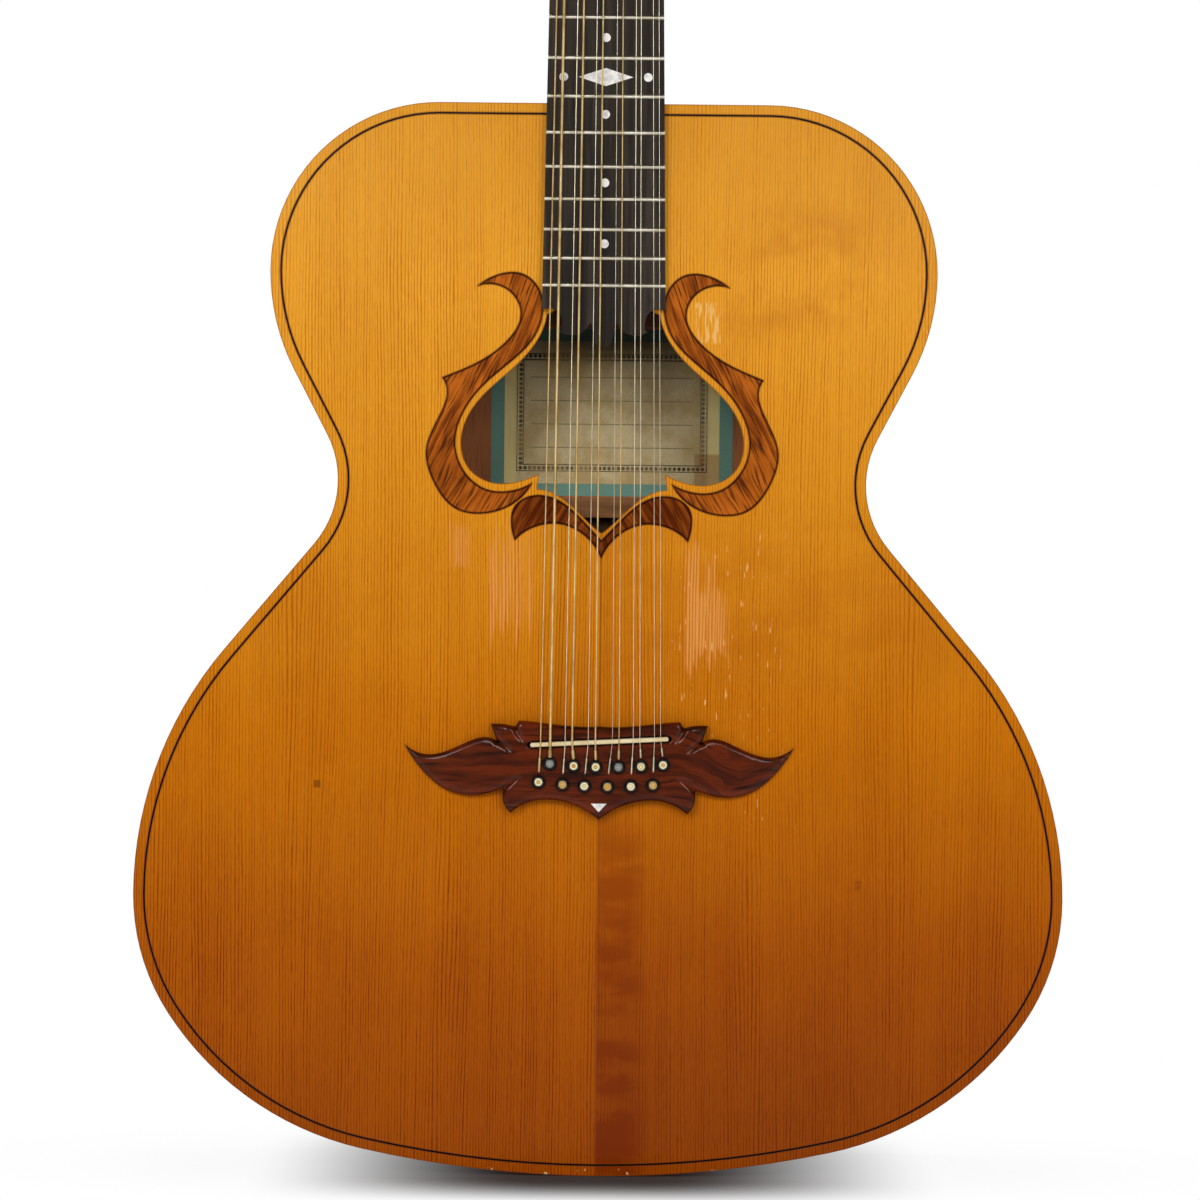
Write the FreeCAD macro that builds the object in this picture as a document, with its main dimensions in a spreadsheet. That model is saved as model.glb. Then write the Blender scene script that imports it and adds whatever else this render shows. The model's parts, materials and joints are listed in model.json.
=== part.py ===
import FreeCAD, Part
import math
import os
import re
import Sketcher
from FreeCAD import Placement, Rotation, Vector

# A twelve-string acoustic guitar with a large flat-topped body, a heart-shaped sound hole and a
# neck that joins the body at the twelfth fret.
#
# Each piece is drawn as it would lie on a luthier's bench: X runs across the guitar, Y from the
# tail to the head, and Z up through the soundboard, whose front face is Z = 0. The head has a
# bench of its own, tilted back at the nut. UPRIGHT then stands the finished guitar on its tail:
# +Z up along the neck, the soundboard facing -Y, and the origin in the middle of the tail, at
# the mouth of the hole for an end pin.

doc = FreeCAD.newDocument("TwelveStringGuitar")
sheet = doc.addObject("Spreadsheet::Sheet", "Sizes")

# Driving dimensions, in millimetres, degrees and counts

SIZES = {
    # Body
    "body_length": 528.7,
    "lower_bout_width": 458.2,
    "waist_width": 260.4,
    "upper_bout_width": 329.0,
    "tail_depth": 122.0,
    "neck_end_depth": 105.0,
    "top_thickness": 3.0,
    "back_thickness": 3.0,
    "side_thickness": 2.2,
    "lining_width": 6.0,
    "lining_height": 15.0,
    "purfling_inset": 4.85,
    "purfling_width": 0.9,
    "inlay_depth": 1.2,
    # Blocks and braces
    "neck_block_length": 58.0,
    "neck_block_width": 84.0,
    "tail_block_length": 20.0,
    "tail_block_width": 76.0,
    "tail_wedge_front": 14.0,
    "tail_wedge_back": 24.0,
    "brace_width": 8.0,
    "brace_height": 14.0,
    "bar_width": 10.0,
    "finger_width": 6.0,
    "finger_height": 9.0,
    "finger_length": 62.0,
    "cross_above_saddle": 60.6,
    "cross_angle": 49.0,
    "bar_above_hole": 17.0,
    "bridge_plate_length": 40.0,
    "bridge_plate_thickness": 2.5,
    "back_brace_height": 13.0,
    "seam_strip_width": 20.0,
    "seam_strip_thickness": 2.0,
    # Sound hole and its surround
    "hole_below_neck_end": 211.9,
    "hole_width": 139.4,
    "hole_height": 107.8,
    "hole_top_rise": 7.0,
    # Label on the inside of the back, between two of its braces
    "card_above_hole_tip": 20.5,
    "bar_below_card": 6.2,
    "bar_above_card": 13.5,
    "card_width": 124.2,
    "card_height": 85.8,
    "card_thickness": 0.4,
    "card_off_centre": 4.9,
    "paper_width": 110.6,
    "paper_height": 73.2,
    "paper_thickness": 0.2,
    # Strings and scale
    "scale_length": 635.0,
    "body_fret_past_body": 3.0,
    "thickest_string": 1.37,
    "string_spread_at_nut": 43.7,
    "string_spread_at_saddle": 58.9,
    "string_off_centre": 0.6,
    "string_clearance": 0.08,
    "string_bend_radius": 2.5,
    "ball_radius": 1.9,
    "ball_length": 3.4,
    # Bridge, saddle and pins
    "bridge_width": 191.8,
    "bridge_length": 48.4,
    "bridge_thickness": 9.0,
    "bridge_tip_thickness": 3.4,
    "bridge_wing_start": 46.0,
    "saddle_from_foot": 38.3,
    "saddle_length": 68.0,
    "saddle_width": 2.2,
    "saddle_slot_depth": 5.0,
    "saddle_rise": 3.2,
    "saddle_slant": 3.0,
    "saddle_crown": 0.8,
    "saddle_end_round": 0.9,
    "pin_spread": 56.0,
    "pin_off_centre": -1.7,
    "pin_row_bow": 1.4,
    "pin_row_gap": 9.6,
    "front_pins_below_saddle": 11.6,
    "pin_head_radius": 3.05,
    "pin_head_height": 3.2,
    "pin_head_round": 0.9,
    "pin_neck_radius": 2.65,
    "pin_end_radius": 1.95,
    "pin_length": 21.5,
    "pin_dot_radius": 1.9,
    "pin_dot_depth": 0.7,
    "string_beside_pin": 1.9,
    "lashing_thickness": 0.25,
    "string_below_bridge_top": 1.6,
    # Fretboard, frets and nut
    "board_width_at_nut": 48.5,
    "board_width_at_body_fret": 57.8,
    "board_thickness": 6.5,
    "board_past_last_fret": 30.0,
    "board_end_length": 17.8,
    "fret_count": 18,
    "body_fret": 12,
    "fret_crown_width": 2.3,
    "fret_crown_height": 1.1,
    "fret_tang_width": 0.6,
    "fret_tang_depth": 1.8,
    "pearl_depth": 0.8,
    "pearl_dot_radius": 2.15,
    "pearl_side_dot_offset": 20.8,
    "pearl_diamond_width": 26.9,
    "pearl_diamond_height": 8.9,
    "pearl_triangle_width": 7.8,
    "pearl_triangle_height": 4.2,
    "pearl_triangle_from_foot": 8.0,
    "nut_thickness": 5.0,
    "nut_above_frets": 1.2,
    # Neck and heel
    "neck_depth_at_nut": 16.0,
    "neck_depth_at_body": 19.0,
    "heel_reach": 72.0,
    "heel_width": 55.0,
    "heel_cap_thickness": 3.0,
    "tenon_length": 18.0,
    "tenon_root_width": 20.0,
    "tenon_end_width": 28.0,
    "tenon_above_back": 14.0,
    "tenon_gap": 0.3,
    # Truss rod
    "rod_width": 6.0,
    "rod_height": 9.5,
    "rod_end_radius": 2.4,
    "rod_end_length": 15.0,
    "rod_axis_depth": 6.5,
    "rod_heel_end": 14.0,
    "rod_nut_across_flats": 7.0,
    "rod_nut_length": 8.0,
    "rod_nut_start": 3.5,
    "rod_pocket_width": 11.0,
    "rod_pocket_depth": 12.0,
    "rod_pocket_length": 29.0,
    "running_gap": 0.05,
    # Head
    "head_angle": 14.0,
    "head_length": 190.0,
    "head_thickness": 15.0,
    "head_width": 78.0,
    "head_join": 22.0,
    "veneer_thickness": 1.5,
    "cover_length": 38.0,
    "cover_base_width": 26.0,
    "cover_tip_width": 11.0,
    "cover_start": 2.5,
    "cover_thickness": 2.0,
    # Tuning machines
    "machine_first": 27.0,
    "machine_pitch": 27.0,
    "machine_row_gap": 48.0,
    "post_radius": 3.0,
    "post_waist_radius": 2.6,
    "post_foot_radius": 2.5,
    "post_hub_radius": 3.2,
    "post_stub_radius": 1.7,
    "post_above_veneer": 13.0,
    "post_waist_low": 5.0,
    "post_waist_high": 10.5,
    "post_hole_radius": 0.9,
    "post_hole_height": 7.0,
    "bushing_radius": 4.0,
    "bushing_depth": 7.0,
    "bushing_flange_radius": 5.0,
    "bushing_flange_thickness": 1.2,
    "gear_teeth": 14,
    "gear_module": 0.65,
    "gear_thickness": 2.6,
    "gear_lift": 0.25,
    "gear_screw_radius": 2.4,
    "tooth_clearance": 0.15,
    "worm_radius": 2.5,
    "worm_core_radius": 1.75,
    "worm_tip_radius": 3.1,
    "worm_turns": 4,
    "worm_tooth_width": 0.62,
    "thread_root_depth": 0.2,
    "key_shaft_radius": 1.5,
    "key_ear_offset": 6.4,
    "key_ear_thickness": 1.6,
    "key_ear_width": 6.6,
    "button_length": 19.0,
    "button_width": 13.0,
    "button_thickness": 6.6,
    "button_round": 2.6,
    "button_past_edge": 11.0,
    "plate_thickness": 1.2,
    "plate_width": 17.0,
    "plate_margin": 12.0,
    "screw_head_radius": 1.9,
    "screw_head_height": 0.9,
    "screw_shank_radius": 1.1,
    "screw_length": 8.0,
    # Hole in the tail for an end pin
    "end_pin_hole_radius": 4.0,
    # How far a cutting shape runs past what it cuts
    "overrun": 4.0,
}

for row, (alias, number) in enumerate(SIZES.items(), start=1):
    sheet.set(f"A{row}", alias)
    sheet.set(f"B{row}", str(number))
    sheet.setAlias(f"B{row}", alias)
doc.recompute()


def bound(text):
    """An expression in size names, written the way the document's expressions need it."""
    return re.sub(r"\b(?!tan\b|cos\b|sin\b)[a-z][a-z_]*", r"Sizes.\g<0>", text)


def value(text):
    return float(sheet.evalExpression(bound(text)))


def mm(alias):
    return float(getattr(sheet, alias))


OVER = mm("overrun")
HOLE_AT = value("body_length - hole_below_neck_end")
UPRIGHT = Placement(Vector(0, -value("tail_depth / 2"), 0), Rotation(Vector(1, 0, 0), 90))
subparts = []


def subpart(obj, label, place=UPRIGHT):
    """Names a finished piece and stands it where it belongs on the upright guitar."""
    obj.Label = label
    obj.Placement = place
    subparts.append(obj)
    return obj


def shaped(name, shape):
    feature = doc.addObject("Part::Feature", name)
    feature.Shape = shape
    return feature


def shaped_subpart(label, shape, place=UPRIGHT):
    return subpart(shaped(label, shape), label, place)


def trimmed(name, base, tool):
    """Base with the tool's shape taken out of it, as a cut of the document."""
    cut = doc.addObject("Part::Cut", name)
    cut.Base = base
    cut.Tool = tool
    return cut


def sketch_on(body, role):
    sketch = body.newObject("Sketcher::SketchObject", body.Name + "_outline")
    plane = next(item for item in body.Origin.OriginFeatures if item.Role == role)
    sketch.AttachmentSupport = [(plane, "")]
    sketch.MapMode = "FlatFace"
    return sketch


def straight_outline(sketch, corners):
    """A closed outline of straight sides. A corner is two expressions, measured from the origin."""
    spots = [Vector(value(across), value(up), 0) for across, up in corners]
    for start, end in zip(spots, spots[1:] + spots[:1]):
        sketch.addGeometry(Part.LineSegment(start, end))
    for side in range(len(corners)):
        joined = (side + 1) % len(corners)
        sketch.addConstraint(Sketcher.Constraint("Coincident", side, 2, joined, 1))
    for side, pair in enumerate(corners):
        for kind, axis, text in (("DistanceX", -2, pair[0]), ("DistanceY", -1, pair[1])):
            if text == "0":
                sketch.addConstraint(Sketcher.Constraint("PointOnObject", side, 1, axis))
            else:
                fixed = Sketcher.Constraint(kind, -1, 1, side, 1, value(text))
                number = sketch.addConstraint(fixed)
                sketch.setExpression(f"Constraints[{number}]", bound(text))


def padded(name, role, corners, length, both_ways=False):
    """A body sawn from the plate: one outline on an origin plane, padded."""
    body = doc.addObject("PartDesign::Body", name)
    straight_outline(sketch_on(body, role), corners)
    pad = body.newObject("PartDesign::Pad", name + "_pad")
    pad.Profile = body.Group[0]
    pad.setExpression("Length", bound(length))
    pad.Midplane = both_ways
    doc.recompute()
    return body


def turned(name, role, corners, axis):
    """A body turned on the lathe: half its profile, revolved about a sketch axis."""
    body = doc.addObject("PartDesign::Body", name)
    sketch = sketch_on(body, role)
    straight_outline(sketch, corners)
    turn = body.newObject("PartDesign::Revolution", name + "_turning")
    turn.Profile = sketch
    turn.ReferenceAxis = (sketch, [axis])
    turn.Angle = 360
    doc.recompute()
    return body


def rounded(body, radius, chosen):
    """Rounds the edges of a body for which chosen(edge) is true."""
    base = body.Tip
    names = [f"Edge{n}" for n, edge in enumerate(base.Shape.Edges, start=1) if chosen(edge)]
    fillet = body.newObject("PartDesign::Fillet", body.Name + "_round")
    fillet.Base = (base, names)
    fillet.setExpression("Radius", bound(radius))
    doc.recompute()
    return body


def level_edge(edge, direction, place):
    """Whether an edge lies all in the plane at a place along X, Y or Z."""
    box = edge.BoundBox
    low, high = getattr(box, direction + "Min"), getattr(box, direction + "Max")
    return max(abs(low - place), abs(high - place)) < OVER / 100


def block(left, right, tail, head, low, high):
    return Part.makeBox(right - left, head - tail, high - low, Vector(left, tail, low))


def rod(radius, start, end):
    return Part.makeCylinder(radius, (end - start).Length, start, end - start)


def prism(outline, low, high):
    solid = Part.Face(outline).extrude(Vector(0, 0, high - low))
    solid.translate(Vector(0, 0, low))
    return solid


def joined(shapes):
    return shapes[0].multiFuse(shapes[1:]).removeSplitter()


# The body's outline

# Heights of the widest and narrowest places, as shares of the body's length
lower_bout_share = 0.26
waist_share = 0.6465
upper_bout_share = 0.8428
# Radii, as shares of the lengths that limit them
corner_radius_share = 0.7824
tail_flatness_share = 1.468
tail_blend_share = 1.358
lower_curves_share = 0.91
waist_curve_share = 0.206
upper_curves_share = 0.894


def unit(vector):
    return vector / vector.Length


def turned_by(vector, angle):
    return Rotation(Vector(0, 0, 1), math.degrees(angle)).multVec(vector)


def crossing(first, first_radius, second, second_radius):
    """Where two circles cross, on the right of the way from the first centre to the second."""
    span = second - first
    squares = first_radius ** 2 - second_radius ** 2 + span.Length ** 2
    along = squares / (2 * span.Length)
    aside = math.sqrt(first_radius ** 2 - along ** 2)
    direction = unit(span)
    return first + direction * along + Vector(direction.y, -direction.x, 0) * aside


def inner_tangent(bout, bout_radius, waist, waist_radius, side):
    """The unit vector from a bout's centre to where its tangent to the waist's curve leaves it."""
    span = waist - bout
    angle = math.acos((bout_radius + waist_radius) / span.Length)
    return turned_by(unit(span), -side * angle)


def outline_segments():
    """Half the outline from the tail's middle to the neck's middle: each segment as its first,
    middle and last point with the outward direction there, or with no middle where straight."""
    length = mm("body_length")
    lower, waist, upper = (value(name + " / 2") for name in
                           ("lower_bout_width", "waist_width", "upper_bout_width"))
    lower_at, waist_at, upper_at = (length * share for share in
                                    (lower_bout_share, waist_share, upper_bout_share))
    corner_radius = corner_radius_share * lower_at
    corner = Vector(lower - corner_radius, lower_at, 0)
    two_arc_tail = (corner.x ** 2 + lower_at ** 2 - corner_radius ** 2) / (2 * (lower_at - corner_radius))
    tail_radius = tail_flatness_share * two_arc_tail
    tail = Vector(0, tail_radius, 0)
    blend_radius = tail_blend_share * (tail_radius + corner_radius - (tail - corner).Length) / 2
    blend = crossing(tail, tail_radius - blend_radius, corner, blend_radius - corner_radius)

    def room(bout, bout_at):
        """The most that a bout's and the waist's radii can add up to."""
        inward, along = bout - waist, waist_at - bout_at
        return (inward ** 2 + along ** 2) / (2 * inward)

    lower_sum = lower_curves_share * room(lower, lower_at)
    waist_radius = waist_curve_share * lower_sum
    lower_radius = lower_sum - waist_radius
    upper_radius = upper_curves_share * room(upper, upper_at) - waist_radius
    shoulder_radius = length - upper_at
    lower_centre = Vector(lower - lower_radius, lower_at, 0)
    waist_centre = Vector(waist + waist_radius, waist_at, 0)
    upper_centre = Vector(upper - upper_radius, upper_at, 0)
    shoulder = Vector(upper - shoulder_radius, upper_at, 0)
    lower_way = inner_tangent(lower_centre, lower_radius, waist_centre, waist_radius, 1)
    upper_way = inner_tangent(upper_centre, upper_radius, waist_centre, waist_radius, -1)

    def arc(centre, radius, first, last, hollow=False):
        out = -1 if hollow else 1
        ways = (first, unit(first + last), last)
        return [(centre + way * radius * out, way) for way in ways]

    down, right, up = Vector(0, -1, 0), Vector(1, 0, 0), Vector(0, 1, 0)
    tail_way, blend_way = unit(blend - tail), unit(corner - blend)
    segments = [
        arc(tail, tail_radius, down, tail_way),
        arc(blend, blend_radius, tail_way, blend_way),
        arc(corner, corner_radius, blend_way, right),
        arc(lower_centre, lower_radius, right, lower_way),
        None,
        arc(waist_centre, waist_radius, lower_way, upper_way, hollow=True),
        None,
        arc(upper_centre, upper_radius, upper_way, right),
        arc(shoulder, shoulder_radius, right, up),
        None,
    ]
    segments[4] = [segments[3][-1], None, segments[5][0]]
    segments[6] = [segments[5][-1], None, segments[7][0]]
    segments[9] = [segments[8][-1], None, (Vector(0, length, 0), up)]
    return segments


OUTLINE = outline_segments()


def body_wire(inset):
    """The closed outline of the body, moved inward by inset."""
    def edge(segment, side):
        points = []
        for station in segment:
            if station is not None:
                spot = station[0] - station[1] * inset
                points.append(Vector(side * spot.x, spot.y, 0))
        return (Part.Arc(*points) if len(points) == 3 else Part.LineSegment(*points)).toShape()

    right = [edge(segment, 1) for segment in OUTLINE]
    left = [edge(segment, -1) for segment in reversed(OUTLINE)]
    return Part.Wire(Part.__sortEdges__(right + left))


def ring(outer_inset, inner_inset, low, high):
    face = Part.makeFace([body_wire(outer_inset), body_wire(inner_inset)], "Part::FaceMakerBullseye")
    solid = face.extrude(Vector(0, 0, high - low))
    solid.translate(Vector(0, 0, low))
    return solid


# Planes of the box: the front of the top is level, and the flat back tapers towards the neck

WIDE = value("lower_bout_width / 2 + overrun")
TOP_INSIDE = -mm("top_thickness")


def back_face(raised):
    """The height of a plane that lies the given distance inside the back's outer face."""
    taper = value("(tail_depth - neck_end_depth) / body_length")
    return lambda y: -mm("tail_depth") + taper * y + raised


def back_inside_text(y_text):
    """The same for the back's inner face, as an expression."""
    return (f"-(tail_depth - back_thickness - (tail_depth - neck_end_depth) * ({y_text}) / body_length)")


def level(height):
    return lambda y: height


def slab(left, right, lower, upper):
    """All that lies between two planes, each given as a height above the bench at a place Y."""
    start, end = -OVER, mm("body_length") + OVER
    corners = [Vector(left, start, lower(start)), Vector(left, end, lower(end)),
               Vector(left, end, upper(end)), Vector(left, start, upper(start))]
    return Part.Face(Part.makePolygon(corners + corners[:1])).extrude(Vector(right - left, 0, 0))


BACK_INSIDE = back_face(mm("back_thickness"))

# Curved outlines given by shares

# Each stretch of an outline runs smoothly through its points, and turns sharply at its ends.
# Sound hole, right half: the lobe beside the fretboard, and the edge that falls to the lower tip.
# Shares of half the hole's width and of its height, from the lower tip.
hole_lobe_shares = ((0.399, 1.000), (0.463, 0.884), (0.626, 0.758), (0.818, 0.646), (0.950, 0.534),
                    (1.000, 0.409), (0.945, 0.294), (0.780, 0.228), (0.587, 0.234), (0.446, 0.270))
hole_tip_shares = ((0.461, 0.200), (0.379, 0.192), (0.198, 0.116), (0.000, 0.000))
# The large scroll that hooks round the lobe, in the same shares
scroll_inner_shares = ((0.897, 1.124), (0.736, 1.183), (0.572, 1.184), (0.452, 1.110), (0.429, 1.005),
                       (0.479, 0.904), (0.641, 0.787), (0.848, 0.670), (0.980, 0.554), (1.040, 0.418),
                       (0.990, 0.294), (0.825, 0.199), (0.617, 0.195), (0.491, 0.230))
scroll_outer_shares = ((0.491, 0.230), (0.601, 0.142), (0.809, 0.087), (1.032, 0.106), (1.189, 0.225),
                       (1.248, 0.369), (1.162, 0.523), (1.105, 0.659), (1.138, 0.707))
scroll_hook_shares = ((1.138, 0.707), (0.908, 0.771), (0.687, 0.874), (0.587, 0.999), (0.660, 1.099),
                      (0.825, 1.135), (0.897, 1.124))
# The small leaf below the lower tip
leaf_top_shares = ((0.000, -0.031), (0.184, 0.092), (0.363, 0.165), (0.542, 0.160), (0.623, 0.113),
                   (0.641, 0.056), (0.613, -0.037))
leaf_bottom_shares = ((0.613, -0.037), (0.465, 0.028), (0.271, 0.038), (0.077, -0.037), (0.000, -0.117))
# Bridge, right half, in shares of half its width and of its length from the foot
bridge_shares = (
    ((0.000, 0.948), (0.198, 0.957), (0.334, 0.988), (0.413, 1.000)),
    ((0.413, 1.000), (0.433, 0.938)),
    ((0.433, 0.938), (0.503, 0.965), (0.558, 0.963)),
    ((0.558, 0.963), (0.525, 0.787)),
    ((0.525, 0.787), (0.584, 0.829), (0.678, 0.777), (0.808, 0.667), (1.000, 0.744)),
    ((1.000, 0.744), (0.912, 0.490), (0.747, 0.258), (0.574, 0.254), (0.508, 0.300)),
    ((0.508, 0.300), (0.493, 0.287)),
    ((0.493, 0.287), (0.493, 0.188), (0.452, 0.062)),
    ((0.452, 0.062), (0.333, 0.184), (0.167, 0.171), (0.000, 0.000)),
)
# Carved end of the fretboard, right half, as arcs in shares of half its width there and of the
# end's length: the notch, the barb, the scallop, and the side and tip of the middle tongue
board_end_shares = (
    ((1.000, 1.000), (0.805, 1.020), (0.677, 0.690)),
    ((0.677, 0.690), (0.663, 0.567), (0.709, 0.400)),
    ((0.709, 0.400), (0.443, 0.330), (0.213, 0.660)),
    ((0.213, 0.660), (0.170, 0.460), (0.145, 0.140)),
    ((0.145, 0.140), (0.105, 0.034), (0.000, 0.000)),
)
# Head, right half, in shares of half its width and of its length from the nut
head_side_shares = ((0.690, 0.116), (0.850, 0.170), (0.935, 0.260), (0.955, 0.420), (1.000, 0.940))
head_crest_shares = ((1.000, 0.940), (0.820, 0.985), (0.620, 0.962), (0.300, 0.990), (0.000, 1.000))


def smooth_edge(points):
    if len(points) == 2:
        return Part.makeLine(*points)
    curve = Part.BSplineCurve()
    curve.interpolate(points)
    return curve.toShape()


def arc_edge(points):
    return Part.Arc(*points).toShape()


def placed_shares(stretch, half_width, height, origin, side=1):
    return [Vector(side * across * half_width, origin + along * height, 0) for across, along in stretch]


def mirrored_wire(stretches, half_width, height, origin, edge=smooth_edge):
    """A closed wire of the right half's stretches and of their mirror images."""
    edges = []
    for side in (1, -1):
        for stretch in stretches:
            edges.append(edge(placed_shares(stretch, half_width, height, origin, side)))
    return Part.Wire(Part.__sortEdges__(edges))


def closed_wire(stretches, half_width, height, origin, side):
    edges = [smooth_edge(placed_shares(stretch, half_width, height, origin, side))
             for stretch in stretches]
    return Part.Wire(Part.__sortEdges__(edges))


# The head's bench: Y runs up the head from the back of the nut, and Z out of its face

# The body fret lies over the end of the body, and the scale runs both ways from it
nut_front = "(body_length + body_fret_past_body + scale_length * (1 - 2 ^ (-body_fret / 12)))"
NUT_FACE = value(nut_front)
SADDLE_AT = NUT_FACE - mm("scale_length")
HEAD_START = NUT_FACE + mm("nut_thickness")
HEAD_BENCH = Placement(Vector(0, HEAD_START, 0), Rotation(Vector(1, 0, 0), -mm("head_angle")))
HEAD_UPRIGHT = UPRIGHT.multiply(HEAD_BENCH)


def on_head(shape):
    """A shape drawn on the head's bench, moved to the guitar's bench."""
    moved = shape.copy()
    moved.Placement = HEAD_BENCH.multiply(shape.Placement)
    return moved


# Routes of the strings

PER_SIDE = 6
STRINGS = range(2 * PER_SIDE)
# Places across the neck, from the first string to the last, in shares of the spread
nut_shares = (0.0, 0.064, 0.208, 0.268, 0.396, 0.453, 0.588, 0.645, 0.785, 0.826, 0.938, 1.0)
saddle_shares = (0.0, 0.080, 0.205, 0.263, 0.397, 0.457, 0.599, 0.654, 0.772, 0.827, 0.949, 1.0)
# The pins, back row and front row in turn, in shares of the back row's spread from its first pin
pin_shares = (0.0, 0.098, 0.211, 0.307, 0.402, 0.500, 0.605, 0.700, 0.811, 0.898, 1.004, 1.091)
pin_bow_share = 1.2
# Diameters in shares of the thickest: each low course pairs a thin octave string with a thick one
gauge_shares = (0.504, 1.0, 0.336, 0.781, 0.263, 0.591, 0.182, 0.423, 0.277, 0.277, 0.204, 0.204)
# The thick ones are wound with bronze wire
wound_from_share = 0.4
# How far the lashing of a string's end comes up from its pin towards the saddle
lashing_share = 0.6
WOUND = [number for number in STRINGS if gauge_shares[number] > wound_from_share]
PLAIN = [number for number in STRINGS if number not in WOUND]

SADDLE_TOP = value("bridge_thickness + saddle_rise")
NUT_TOP = value("board_thickness + fret_crown_height + nut_above_frets")
BRIDGE_FOOT = SADDLE_AT - mm("saddle_from_foot")
PLATE_UNDERSIDE = TOP_INSIDE - mm("bridge_plate_thickness")


def string_radius(number):
    return gauge_shares[number] * value("thickest_string / 2")


def saddle_at(x):
    """Where the slanted saddle's crest crosses a place x across the bridge."""
    return SADDLE_AT + math.tan(math.radians(mm("saddle_slant"))) * x


def pin_place(number):
    """The foot of a pin's head: the rows are bowed a little, down towards their middle."""
    row = mm("front_pins_below_saddle") + (0 if number % 2 else mm("pin_row_gap"))
    row += mm("pin_row_bow") * (0.5 - (2 * pin_shares[number] - pin_bow_share) ** 2)
    across = (pin_shares[number] - 0.5) * mm("pin_spread") + mm("pin_off_centre")
    return Vector(across, SADDLE_AT - row, 0)


def post_place(number):
    """The foot of a string's post on the head's bench: bass strings left, the outermost first."""
    bass = number < PER_SIDE
    step = number if bass else STRINGS[-1] - number
    side = -1 if bass else 1
    return Vector(side * value("machine_row_gap / 2"),
                  mm("machine_first") + step * mm("machine_pitch"), 0)


def at_nut(number):
    across = (nut_shares[number] - 0.5) * mm("string_spread_at_nut") + mm("string_off_centre")
    return Vector(across, NUT_FACE, NUT_TOP)


def at_post(number):
    """Where a string meets the inner side of its post's waist, seen along the post."""
    start = HEAD_BENCH.inverse().multVec(at_nut(number))
    post = post_place(number)
    height = value("veneer_thickness + post_hole_height")
    reach = mm("post_waist_radius") + string_radius(number) + mm("running_gap")
    span = Vector(post.x - start.x, post.y - start.y, 0)
    lean = math.asin(reach / span.Length) * (1 if post.x < 0 else -1)
    way = turned_by(unit(span), -lean)
    touch = Vector(start.x, start.y, 0) + way * math.sqrt(span.Length ** 2 - reach ** 2)
    return HEAD_BENCH.multVec(Vector(touch.x, touch.y, height))


def string_route(number):
    pin = pin_place(number)
    beside = Vector(pin.x, pin.y + mm("string_beside_pin"), 0)
    across = (saddle_shares[number] - 0.5) * mm("string_spread_at_saddle") + mm("string_off_centre")
    return [
        beside + Vector(0, 0, PLATE_UNDERSIDE - mm("string_clearance")),
        beside + Vector(0, 0, value("bridge_thickness - string_below_bridge_top")),
        Vector(across, saddle_at(across), SADDLE_TOP + string_radius(number)),
        at_nut(number),
        at_post(number),
    ]


def swept(route, bend_radius, radius):
    """A round wire along straight runs with a tangent arc at each corner between them."""
    edges = []
    last = route[0]
    for before, corner, after in zip(route, route[1:], route[2:]):
        way_in, way_out = unit(corner - before), unit(after - corner)
        turn = way_in.getAngle(way_out)
        tangent = bend_radius * math.tan(turn / 2)
        start, end = corner - way_in * tangent, corner + way_out * tangent
        centre = corner + unit(way_out - way_in) * (bend_radius / math.cos(turn / 2))
        middle = centre + unit(corner - centre) * bend_radius
        edges.append(Part.makeLine(last, start))
        edges.append(Part.Arc(start, middle, end).toShape())
        last = end
    edges.append(Part.makeLine(last, route[-1]))
    section = Part.Wire(Part.makeCircle(radius, route[0], route[1] - route[0]))
    return Part.Wire(edges).makePipeShell([section], True, False)


def string_shapes(number, extra=0.0):
    """A string's lashed end with its ball below the bridge plate, and the string above it."""
    route = string_route(number)
    lashed_to = route[1] + (route[2] - route[1]) * lashing_share
    bend_radius, radius = mm("string_bend_radius"), string_radius(number) + extra
    lashing = swept([route[0], route[1], lashed_to], bend_radius, radius + mm("lashing_thickness"))
    ball = rod(mm("ball_radius") + extra, route[0] - Vector(0, 0, mm("ball_length") + extra), route[0])
    return [lashing.fuse(ball), swept([lashed_to] + route[2:], bend_radius, radius)]


STRING_ROOM = Part.makeCompound([joined(string_shapes(number, mm("string_clearance")))
                                 for number in STRINGS])

# Bridge pins

pin_blank = turned("pin_blank", "XZ_Plane", (
    ("0", "-pin_length"),
    ("pin_end_radius", "-pin_length"),
    ("pin_neck_radius", "0"),
    ("pin_head_radius", "0"),
    ("pin_head_radius", "pin_head_height"),
    ("0", "pin_head_height"),
), "V_Axis")
head_rim = mm("pin_head_height")
rounded(pin_blank, "pin_head_round",
        lambda edge: level_edge(edge, "Z", head_rim))
dot_seat = Part.makeCylinder(mm("pin_dot_radius"), value("pin_dot_depth + overrun"),
                             Vector(0, 0, value("pin_head_height - pin_dot_depth")))
dot_disc = Part.makeCylinder(mm("pin_dot_radius"), mm("pin_dot_depth"),
                             Vector(0, 0, value("pin_head_height - pin_dot_depth")))
pin_shape = pin_blank.Shape.cut(dot_seat)
pin_shank = pin_blank.Shape.common(block(-OVER, OVER, -OVER, OVER, -value("pin_length + overrun"), 0))


def at_each_pin(shape):
    copies = []
    for number in STRINGS:
        copy = shape.copy()
        copy.translate(pin_place(number) + Vector(0, 0, mm("bridge_thickness")))
        copies.append(copy)
    return copies


PIN_HOLES = Part.makeCompound(at_each_pin(pin_shank))
pins = [pin.cut(STRING_ROOM) for pin in at_each_pin(pin_shape)]
shaped_subpart("bridge_pins", Part.makeCompound(pins))
shaped_subpart("bridge_pin_dots", Part.makeCompound(at_each_pin(dot_disc)))

# Dovetail that joins the neck to the body: the tenon on the heel and the mortise around it


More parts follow.
